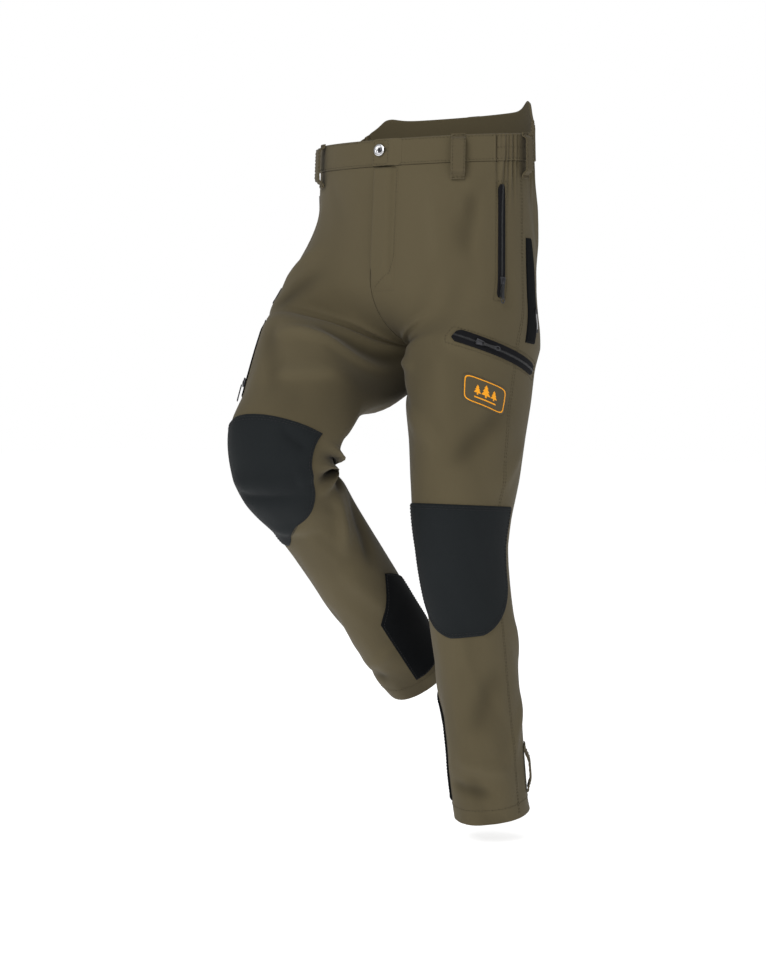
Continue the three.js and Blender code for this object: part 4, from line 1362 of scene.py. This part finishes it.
def sliderOn(prefix, side, u, v, angle, lift, sliderBody, pullerBody=None, size=slider["size"]):
    name = prefix + "_slider" + ("" if prefix == "fly" else "_" + side)
    body = makeSlider(name, *size)
    place(body, side, u, v, lift, angle)
    onBody(body, darkMetal, "zinc_hardware", sliderBody, name)
    bridge = boxOf(name + "_bridge", (2.2, size[0] * 0.62, 0.9), (0, 0, size[2] - 0.1))
    editing(bridge)
    bpy.ops.mesh.select_all(action="SELECT")
    bpy.ops.mesh.subdivide(number_cuts=4)
    done(bridge)
    for x in bridge.data.vertices:
        x.co.z += 0.5 * (1 - (x.co.y / (size[0] * 0.31)) ** 2)
    softened(bridge, 0.2, 2, 30)
    place(bridge, side, u, v, lift, angle)
    onBody(bridge, darkMetal, "zinc_hardware", sliderBody)
    if pullerBody:
        pullName = prefix + "_puller_" + side
        tag, ring = makePuller(pullName)
        for piece, material in ((tag, softBlack), (ring, darkMetal)):
            place(piece, side, u, v, lift + size[2] + pull["gap"], angle, along=size[0] / 2 - pull["seat"])
            onBody(piece, material, "zinc_hardware", pullerBody)
        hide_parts(pullName)


def onto(body, slot="olive_fabric"):
    # holds rows of thread on one body
    return lambda obj, material: onBody(obj, material, slot, body)


def along(side, joint, slot="olive_fabric"):
    # rows of thread that lie on the cloth over a joint
    return lambda obj, material: follows(obj, material, slot, side, joint)


def stitchRows(name, side, lines, off, hold, material):
    hold(stitchMesh(name, [pathOn(side, line, off) for line in lines]), material)


arcAngle = math.atan2(thighZip["v1"] - thighZip["v0"], 150) - math.pi / 2


def arcV(u):
    return mix(thighZip["v0"], thighZip["v1"], (u - thighZip["u0"]) / (thighZip["u1"] - thighZip["u0"]))


def rectRound(u0, u1, v0, v1, g, radius=6.0, n=8):
    # a rectangle with round corners on the cloth, as places
    out = []
    for cu, cv, start in ((u1, v0, -0.5), (u1, v1, 0.0), (u0, v1, 0.5), (u0, v0, 1.0)):
        mu = cu - radius / g * (1 if cu == u1 else -1)
        mv = cv - radius * (1 if cv == v1 else -1)
        for k in range(n + 1):
            a = (start + 0.5 * k / n) * math.pi
            out.append((mu + math.cos(a) * radius / g, mv + math.sin(a) * radius))
    out.append(out[0])
    return out


for side in ("left", "right"):
    h = handZip
    zipOn("hand_zip_" + side, side, steps([(h["u"], h["v0"]), (h["u"], h["v1"])], 40), h["width"], 0.7, 2.2)
    sliderOn(
        "hand", side, h["u"], h["sliderV"], 0.0, slider["lift"], side + "_hand_slider",
        side + "_hand_puller"
    )
    g = trunkGirth
    ring = rectRound(h["u"] - 10.5 / g, h["u"] + 10.5 / g, h["v0"] - 5, h["v1"] + 5, g, 4.0)
    stitchRows("hand_pocket_stitches_" + side, side, [ring], 0.1, onto("trunk"), oliveThread)
    vz = ventZip[side]
    line = steps([(ventZip["u"], vz[0]), (ventZip["u"], vz[1])], 30)
    zipOn("vent_zip_" + side, side, line, ventZip["width"], 0.7, 2.2, "hip")
    sliderOn("vent", side, ventZip["u"], vz[2], math.pi, slider["lift"] - 0.4, side + "_vent_slider")
    g = float(girth(np.array(float(vz[0]))))
    ring = rectRound(ventZip["u"] - 10.5 / g, ventZip["u"] + 10.5 / g, vz[0] - 5, vz[1] + 5, g, 4.0)
    stitchRows("vent_stitches_" + side, side, [ring], 0.1, along(side, "hip"), oliveThread)

u0, u1 = thighZip["u0"] + 0.004, thighZip["u1"] - 0.004
line = steps([(u0, arcV(u0)), (u1, arcV(u1))], 40)
zipOn("thigh_zip_left", "left", line, thighZip["width"] - 1, 1.1, 2.3, "hip")
sliderOn(
    "thigh", "left", thighZip["sliderU"], arcV(thighZip["sliderU"]), arcAngle, slider["lift"],
    "left_thigh_slider", "left_thigh_puller"
)
line = steps([(rightZip["u"], rightZip["v0"] + 2), (rightZip["u"], rightZip["v1"])], 40)
zipOn("thigh_zip_right", "right", line, rightZip["width"] - 3, 1.3, 2.4, "hip")
sliderOn(
    "thigh", "right", rightZip["u"], rightZip["sliderV"], 0.0, slider["lift"], "right_thigh_slider",
    "right_thigh_puller"
)
g = float(girth(np.array(320.0)))
left, right = thighZip["u0"] - 8 / g, thighZip["u1"] + 8 / g
topLeft, topRight = arcV(thighZip["u0"]) - 13, arcV(thighZip["u1"]) - 13
ring = [(left, topLeft), (right, topRight), (right, topRight + 26), (left, topLeft + 26), (left, topLeft)]
stitchRows("thigh_pocket_stitches_left", "left", [ring], 0.1, along("left", "hip"), oliveThread)
g = float(girth(np.array(370.0)))
ring = rectRound(
    rightZip["u"] - 11.5 / g, rightZip["u"] + 11.5 / g, rightZip["v0"] - 5, rightZip["v1"] + 6, g, 5.0
)
stitchRows("thigh_pocket_stitches_right", "right", [ring], 0.1, along("right", "hip"), oliveThread)
print("stage: zips")

# fly
fly = {
    "u0": 0.006, "u1": 0.076, "v0": 43, "v1": 222, "thickness": 1.6, "zip": (0.009, 0.035), "teeth": 0.022
}


def flyRise(u):
    return 0.8 + 4.6 * smooth((0.070 - u) / 0.028)


def flyTop(u, v):
    # the flap sinks into the front along its sewn edge and at its foot
    sewn = np.maximum(smooth((u - (fly["u1"] - 0.022)) / 0.022), smooth((v - (fly["v1"] - 34)) / 34))
    return mix(flyRise(u) + fly["thickness"], 0.25, sewn)


flap = lay("fly_flap", "left", across(fly["u0"], fly["u1"]), down(fly["v0"], fly["v1"]), 40, 90,
           lambda u, v: flyTop(u, v) - 1.5, flyTop, 1.6)
onBody(flap, olive, "olive_fabric", "fly_flap", "fly_flap")
flyTape = lay("fly_zip", "left", across(*fly["zip"]), down(44, 206), 10, 60, 0.5, 1.5, 1.0)
onBody(flyTape, tapeCloth, "zip_tape", "trunk", "fly_zip")
flyTeeth = zipTeeth("fly_zip_teeth", "left", steps([(fly["teeth"], 60), (fly["teeth"], 204)], 30), 1.3)
onBody(flyTeeth, toothPlastic, "zip_tape", "trunk")
sliderOn("fly", "left", fly["teeth"], 52, 0.0, 1.9, "fly_slider", None, (10.0, 7.0, 2.4))

# patches
kneePatch = {
    "left": (0.335, 538, 722, 0.215), "right": (0.275, 490, 668, 0.24), "low": 0.5, "high": 2.4, "row": 3.2,
    "gap": 3.0, "slant": 46
}
anklePatch = {"half": 0.14, "top": 790, "drop": 60, "bottom": 975}
sidePanel = {"u0": 0.508, "u1": 0.545, "bulge": 0.03, "v0": 150, "v1": 300}


def kneeHalf(t, widest):
    return (widest - 0.015 * t) * np.where(
        t < 0.62, 1.0, np.sqrt(np.clip(1 - ((t - 0.62) / 0.40) ** 2, 0, 1))
    )


def kneeV(side, a, b):
    # the lower edge of the bent knee's patch runs up on its inner side
    mid, v0, v1, widest = kneePatch[side]
    lifted = kneePatch["slant"] * (1 - smooth(a / 0.95)) if side == "right" else 0.0
    return v0 + b * (v1 - v0 - lifted)


for side in ("left", "right"):
    mid, v0, v1, widest = kneePatch[side]
    patch = lay(
        "knee_patch_" + side, side, lambda a, b: mid + (a * 2 - 1) * kneeHalf(b, widest),
        lambda a, b, side=side: kneeV(side, a, b), 110, 80, kneePatch["low"], kneePatch["high"], 1.8
    )
    follows(patch, kneeCloth, "knee_fabric", side, "knee", "knee_patch_" + side)
    rows = []
    for gap in (kneePatch["row"], kneePatch["row"] + kneePatch["gap"]):
        t = np.linspace(gap / (v1 - v0), 1 - gap / (v1 - v0), 70)
        g = girth(mix(v0, v1, t))
        half = np.maximum(kneeHalf(t, widest) - gap / g * (1 + 1.1 * smooth((t - 0.7) / 0.3)), 0.01)
        share = half / kneeHalf(t, widest) / 2
        leftEdge = [(mid - x, kneeV(side, 0.5 - k, y)) for x, y, k in zip(half, t, share)]
        rightEdge = [(mid + x, kneeV(side, 0.5 + k, y)) for x, y, k in zip(half, t, share)]
        rows.append(leftEdge[::-1] + rightEdge)
        rows.append([leftEdge[-1], rightEdge[-1]])
    stitchRows(
        "knee_patch_stitches_" + side, side, rows, kneePatch["high"] + seamLift,
        along(side, "knee", "knee_fabric"), blackThread
    )

    half = anklePatch["half"]
    ankle = lay(
        "ankle_patch_" + side, side, across(1 - half, 1 + half),
        lambda a, b: mix(
            anklePatch["top"] + anklePatch["drop"] * np.abs(a * 2 - 1), anklePatch["bottom"] + 0 * a, b
        ),
        70, 90, 1.0, 2.6, 1.6
    )
    onBody(ankle, blackCloth, "black_fabric", side + "_shin", "ankle_patch_" + side)
    g = float(girth(np.array(900.0)))
    e = 3.2
    shoulder, foot = anklePatch["top"] + anklePatch["drop"] + e * 1.2, anklePatch["bottom"] - e
    near, far, peak = 1 - half + e / g, 1 + half - e / g, (1.0, anklePatch["top"] + e)
    border = [peak, (near, shoulder), (near, foot), (far, foot), (far, shoulder), peak]
    stitchRows(
        "ankle_patch_stitches_" + side, side, [border], 2.65, onto(side + "_shin", "black_fabric"),
        blackThread
    )

    panel = lay(
        "side_panel_" + side, side,
        lambda a, b: mix(
            sidePanel["u0"] + 0 * a, sidePanel["u1"] + sidePanel["bulge"] * np.sin(np.pi * b), a
        ),
        down(sidePanel["v0"], sidePanel["v1"]), 24, 60, 0.4, 1.9, 1.5
    )
    follows(panel, blackCloth, "black_fabric", side, "hip", "side_panel_" + side)

print("stage: patches")

# seams
for side in ("left", "right"):
    split = splitOf(side)
    hipRows, kneeRows, shinRows = [], [], []
    for u in (0.4885, 0.4815):
        hipRows.append([(u, 62.0), (u, float(split) - 1)])
        kneeRows.append([(u, float(split) + 1), (u, 998.0)])
    hipRows.append([(0.995, 62.0), (0.995, 300.0)])
    kneeRows.append([(x, 983.0) for x in np.linspace(0, 1, 60)])
    stitchRows("side_seam_upper_" + side, side, hipRows, seamLift, along(side, "hip"), oliveThread)
    stitchRows("side_seam_lower_" + side, side, kneeRows, seamLift, along(side, "knee"), oliveThread)
    u0 = tab["to"] + 0.004 if side == "left" else 0.004
    bandRows = [[(u0, 3.2), (elastic["from"], 3.2)], [(u0, 36.8), (elastic["from"], 36.8)]]
    stitchRows(
        "waistband_stitches_" + side, side, bandRows, band["high"] + seamLift, onto("trunk"), oliveThread
    )
    uRow = np.linspace(elastic["from"], 0.995, 90)
    topRow = bandTop(uRow, cornerOf(side))
    elasticRows = [list(zip(uRow, topRow + (bandEnd - topRow) * share)) for share in (0.09, 0.5, 0.91)]
    stitchRows(
        "gathered_stitches_" + side, side, elasticRows, band["high"] + seamLift, onto("trunk", "elastic"),
        oliveThread
    )
flyEdge = fly["u1"] - 0.006
line = [(flyEdge, 46.0), (flyEdge, 178.0), (flyEdge - 0.010, 202.0), (fly["u0"] + 0.004, 217.0)]
pts = []
for (ua, va), (ub, vb) in zip(line[:-1], line[1:]):
    for t in np.arange(0, 1, 0.05):
        pts.append((mix(ua, ub, t), mix(va, vb, t)))
uv = np.array(pts)
lift = flyTop(uv[:, 0], uv[:, 1]) + seamLift
p = spot("left", uv[:, 0], uv[:, 1], lift)
q = spot("left", uv[:, 0], uv[:, 1], lift + 1)
flyStitches = stitchMesh("fly_stitches", [(p, (q - p) / mm)])
onBody(flyStitches, oliveThread, "olive_fabric", "fly_flap")
g = trunkGirth
tabRows = [rectRound(tab["from"] + 2.6 / g, tab["from"] + 24 / g, 2.8, 37.2, g, 2.5)]
stitchRows("waist_tab_stitches", "left", tabRows, tab["high"] + seamLift, onto("waist_tab"), oliveThread)
hu, hv, ru, rv = holeOf()
eye = []
for k in range(56):
    c, s = math.cos(2 * math.pi * k / 56), math.sin(2 * math.pi * k / 56)
    line = [(hu + (ru + reach / g) * c, hv + (rv + reach) * s) for reach in (0.8, 3.0)]
    eye.append(pathOn("left", line, tab["high"], 0.7))
eyeStitches = stitchMesh("buttonhole_stitches", eye, radius=0.36, length=1.8, gap=0.3)
onBody(eyeStitches, oliveThread, "olive_fabric", "waist_tab")

# hem
hemTab = {"u": 0.60, "v": 905, "width": 26}
for side in ("left", "right"):
    line = [(0, 1.7), (7, 1.7), (15, 4.4), (24, 7.1), (38, 7.4), (52, 7.1), (60, 4.6), (66, 2.3), (70, 2.3)]
    piece, rows = strap("hem_tab_" + side, side, hemTab["u"], hemTab["v"], line, hemTab["width"], 2.1)
    onBody(piece, loopCloth, "olive_fabric", side + "_hem_tab", "hem_tab_" + side)
    onBody(stitchMesh("hem_tab_stitches_" + side, rows), oliveThread, "olive_fabric", side + "_hem_tab")
    facing = lay(
        "hem_facing_" + side, side, across(0, 1), down(978, 1004), 120, 10, -3.0, -1.5, 0.6, wraps=True
    )
    onBody(facing, olive, "olive_fabric", side + "_shin")
print("stage: seams and hems")

# label and badge
def wavyBox(name, size, centre, lift):
    # a thin woven strip that lies in soft waves
    obj = boxOf(name, size, centre)
    editing(obj)
    bpy.ops.mesh.select_all(action="SELECT")
    bpy.ops.mesh.subdivide(number_cuts=6)
    done(obj)
    for v in obj.data.vertices:
        v.co.z += 0.35 * math.sin(v.co.y * 0.28) + lift
    return obj


label = softened(wavyBox("side_label", (10, 34, 1.0), (0, 0, 0.5), 0.3), 0.2, 2, 40)
stripe = wavyBox("side_label_stripe", (3.2, 22, 0.3), (0.6, 1.0, 0.9), 0.42)
for piece, material in ((label, labelCloth), (stripe, labelStripe)):
    layer = piece.data.uv_layers.get("cut") or piece.data.uv_layers.new(name="cut")
    for poly in piece.data.polygons:
        for k in poly.loop_indices:
            co = piece.data.vertices[piece.data.loops[k].vertex_index].co
            layer.data[k].uv = (co.x * mm, co.y * mm)
    place(piece, "left", 0.555, 268, 1.9)
    onBody(piece, material, "label", "trunk")
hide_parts("side_label")

badge = {"u0": 0.352, "u1": 0.468, "v0": 352.0, "v1": 392.0, "slope": 18.0, "low": 0.5, "high": 1.3}
badgeGirth = float(girth(np.array(370.0)))
badgeU, badgeMid = (badge["u0"] + badge["u1"]) / 2, (badge["v0"] + badge["v1"]) / 2
badgeHalf = (badge["u1"] - badge["u0"]) * badgeGirth / 2, (badge["v1"] - badge["v0"]) / 2


def badgeV(u, v):
    return v + badge["slope"] * (u - badge["u0"]) / (badge["u1"] - badge["u0"])


def badgeRing(a):
    # outline of the badge with round corners, as places, for a share of the way round
    w, h = badgeHalf
    ang = a * 2 * np.pi
    c, s = np.cos(ang), np.sin(ang)
    p = 7.0
    reach = (np.abs(c) ** p + np.abs(s) ** p) ** (-1 / p)
    u = badgeU + w * c * reach / badgeGirth
    return u, badgeV(u, badgeMid + h * s * reach)


def badgePlace(a, b, k):
    u, v = badgeRing(a)
    uu = mix(badgeU, u, np.maximum(b, 0.01))
    vv = mix(badgeV(badgeU, badgeMid), v, np.maximum(b, 0.01))
    q = np.clip((1 - b) * 20, 0, 1)
    off = badge["low"] if k == 0 else badge["low"] + (badge["high"] - badge["low"]) * (0.3 + 0.7 * q)
    return spot("left", uu, vv, off * np.ones_like(uu))


ground = slabMesh("badge", badgePlace, 120, 14, wraps=True, uvOf=roundCut(0.03, 0.02))
bm = bmesh.new()
bm.from_mesh(ground.data)
bmesh.ops.holes_fill(bm, edges=[e for e in bm.edges if e.is_boundary])
bm.to_mesh(ground.data)
bm.free()
follows(ground, badgeGround, "badge", "left", "hip", "badge")


def badgeLine(name, inner, outer, low, high):
    # a raised line that runs round inside the badge's edge
    def linePlace(a, b, k):
        m = mix(inner, outer, b)
        u, v = badgeRing(a)
        w, h = badgeHalf
        x, y = (u - badgeU) * badgeGirth, v - badgeV(u, badgeMid)
        uu = badgeU + x * (1 - m / w) / badgeGirth
        vv = badgeV(uu, badgeMid + y * (1 - m / h))
        return spot("left", uu, vv, (low if k == 0 else high) * np.ones_like(uu))
    return slabMesh(name, linePlace, 140, 3, wraps=True, uvOf=lambda a, b: (a * 0.15, b * 0.002))


outline = badgeLine("badge_outline", 3.6, 2.2, badge["high"] - 0.3, badge["high"] + 0.35)
follows(outline, badgeOrange, "badge", "left", "hip")


def flatShape(name, places, low, high):
    # a small flat outline on the badge: places in millimetres from its middle
    pts = np.array(places, float)
    u = badgeU + pts[:, 0] / badgeGirth
    v = badgeV(u, badgeMid + pts[:, 1])
    n = len(pts)
    points = np.concatenate([spot("left", u, v, high), spot("left", u, v, low)])
    faces = [tuple(range(n)), tuple(range(n, 2 * n))[::-1]]
    faces += [(k, (k + 1) % n, (k + 1) % n + n, k + n) for k in range(n)]
    uv = np.concatenate([pts, pts]) * mm
    obj = makeObject(name, points, faces, uv, smoothShade=False)
    activate(obj)
    bpy.ops.object.mode_set(mode="EDIT")
    bpy.ops.mesh.select_all(action="SELECT")
    bpy.ops.mesh.quads_convert_to_tris()
    bpy.ops.mesh.normals_make_consistent(inside=False)
    bpy.ops.object.mode_set(mode="OBJECT")
    return obj


def tree(x, size):
    # a plain fir: three tiers and a trunk
    half = [
        (0, -11.5), (3.1, -6.8), (1.7, -6.8), (5.0, -2.2), (3.0, -2.2), (7.0, 3.2), (1.3, 3.2), (1.3, 6.2)
    ]
    pts = half + [(-a, b) for a, b in half[::-1][:-1]]
    return [(x + a * size, b * size + (1 - size) * 5.0 - 0.5) for a, b in pts]


firs = ((-13.0, 0.78), (0.0, 1.0), (13.0, 0.78))
trees = [flatShape("fir", tree(x, size), badge["high"] - 0.3, badge["high"] + 0.35) for x, size in firs]
motif = joined("badge_motif", trees)


def barU(a, b):
    return badgeU + (a - 0.5) * 36 / badgeGirth


bar = lay("badge_bar", "left", barU, lambda a, b: badgeV(barU(a, b), 380.2 + 2.2 * b), 30, 4,
          badge["high"] - 0.3, badge["high"] + 0.4, 0.3)
follows(bar, badgeOrange, "badge", "left", "hip")
cutSizes.pop(bar.name)
follows(motif, badgeOrange, "badge", "left", "hip")
print("stage: label and badge")

# inside: pocket bags and the cut protection
inner = {"handTop": -2.9, "leftTop": -3.8, "rightTop": -5.35, "bag": 1.4}
thighBag = {"left": (0.25, 0.47, 318, 450), "right": (0.22, 0.46, 360, 458)}
insertOff = {"high": -8.6, "edge": -3.7, "loft": 6.4, "quilt": 1.2}
for side in ("left", "right"):
    bag = lay(
        "hand_pocket_bag_" + side, side, across(0.17, 0.425), down(62, 205), 40, 40,
        inner["handTop"] - inner["bag"], inner["handTop"], 1.2
    )
    onBody(bag, liningCloth, "pocket_lining", "trunk", "hand_pocket_bag_" + side)
    (u0, u1, v0, v1), top = thighBag[side], inner[side + "Top"]
    bag = lay(
        "thigh_pocket_bag_" + side, side, across(u0, u1), down(v0, v1), 36, 36, top - inner["bag"], top, 1.2
    )
    follows(bag, liningCloth, "pocket_lining", side, "hip", "thigh_pocket_bag_" + side)

    def insertTop(a, side=side):
        u = mix(0.03, 0.62, a)
        return np.maximum(zoneLevel(side, u, stance[side]["hipZone"]), 325.0) + 8

    def sewn(u, v):
        return mix(insertOff["edge"], insertOff["high"], smooth(np.minimum(u - 0.03, 0.62 - u) / 0.07))

    def quilt(u, v):
        rows = np.abs(np.sin(np.pi * v / 62.0))
        cols = np.abs(np.sin(np.pi * (u - 0.03) / 0.59 * 4))
        return sewn(u, v) - insertOff["quilt"] * (1 - np.minimum(rows, cols) ** 0.4)

    def insertBack(u, v):
        return sewn(u, v) - insertOff["loft"] + insertOff["quilt"] * (sewn(u, v) - quilt(u, v))

    insert = lay(
        "cut_insert_" + side, side, across(0.03, 0.62),
        lambda a, b, side=side: mix(insertTop(a), 955.0 + 0 * a, b), 60, 150, insertBack, quilt, 3.0
    )
    follows(insert, fibreCloth, "cut_fibre", side, "knee", "cut_insert_" + side)
    cutSizes.pop(insert.name)

print("stage: inside pieces")

# floor, light and camera
view = {
    "azimuth": 35, "elevation": 2, "target": (0, 0, -0.48), "distance": 3.2, "focal": 2150,
    "shiftX": -43 / 958, "shiftY": -14 / 958, "height": 958
}
studio = {"sky": 0.32, "shown": 1.0, "floorGlow": 0.72, "key": 66, "fill": 9, "top": 14, "behind": 6}
floorLevel = cadBox[0][2] - 0.03
bpy.ops.object.select_all(action="DESELECT")
bpy.ops.mesh.primitive_plane_add(size=30, location=(0, 0, floorLevel))
floor = bpy.context.object
floor.name = "floor"
floorMat, floorTree, floorShader = newMaterial("floor")
floorShader.inputs["Base Color"].default_value = (0.9, 0.9, 0.9, 1)
floorShader.inputs["Emission Color"].default_value = (1, 1, 1, 1)
floorShader.inputs["Emission Strength"].default_value = studio["floorGlow"]
floorShader.inputs["Roughness"].default_value = 0.9
floorShader.inputs["Specular IOR Level"].default_value = 0.1
floor.data.materials.append(floorMat)

a, e = view["azimuth"] * rad, view["elevation"] * rad
backward = Vector((math.sin(a) * math.cos(e), -math.cos(a) * math.cos(e), math.sin(e)))
cameraData = bpy.data.cameras.new("camera")
cameraData.sensor_fit = "VERTICAL"
cameraData.sensor_height = 36
cameraData.lens = view["focal"] / view["height"] * 36
cameraData.shift_x, cameraData.shift_y = view["shiftX"], view["shiftY"]
camera = bpy.data.objects.new("camera", cameraData)
bpy.context.collection.objects.link(camera)
camera.location = Vector(view["target"]) + backward * view["distance"]
camera.rotation_euler = backward.to_track_quat("Z", "Y").to_euler()
bpy.context.scene.camera = camera
bpy.context.scene.view_settings.view_transform = "Standard"


def areaLight(name, place1, size, power):
    data = bpy.data.lights.new(name, "AREA")
    data.energy, data.size = power, size
    obj = bpy.data.objects.new(name, data)
    bpy.context.collection.objects.link(obj)
    obj.location = place1
    obj.rotation_euler = (Vector(place1) - Vector(view["target"])).to_track_quat("Z", "Y").to_euler()
    return obj


areaLight("key", (0.5, -3.0, 1.5), 1.8, studio["key"])
areaLight("fill", (3.2, -1.4, 0.3), 2.4, studio["fill"])
areaLight("top", (0.2, 0.4, 2.4), 2.0, studio["top"])
areaLight("behind", (-1.6, 2.8, 0.6), 2.2, studio["behind"])
world = bpy.data.worlds.new("studio")
bpy.context.scene.world = world
world.use_nodes = True
background = world.node_tree.nodes["Background"]
background.inputs["Color"].default_value = (1, 1, 1, 1)
rays = world.node_tree.nodes.new("ShaderNodeLightPath")
shown = world.node_tree.nodes.new("ShaderNodeMapRange")
shown.inputs["To Min"].default_value = studio["sky"]
shown.inputs["To Max"].default_value = studio["shown"]
world.node_tree.links.new(rays.outputs["Is Camera Ray"], shown.inputs["Value"])
world.node_tree.links.new(shown.outputs[0], background.inputs["Strength"])
print("stage: camera and light")
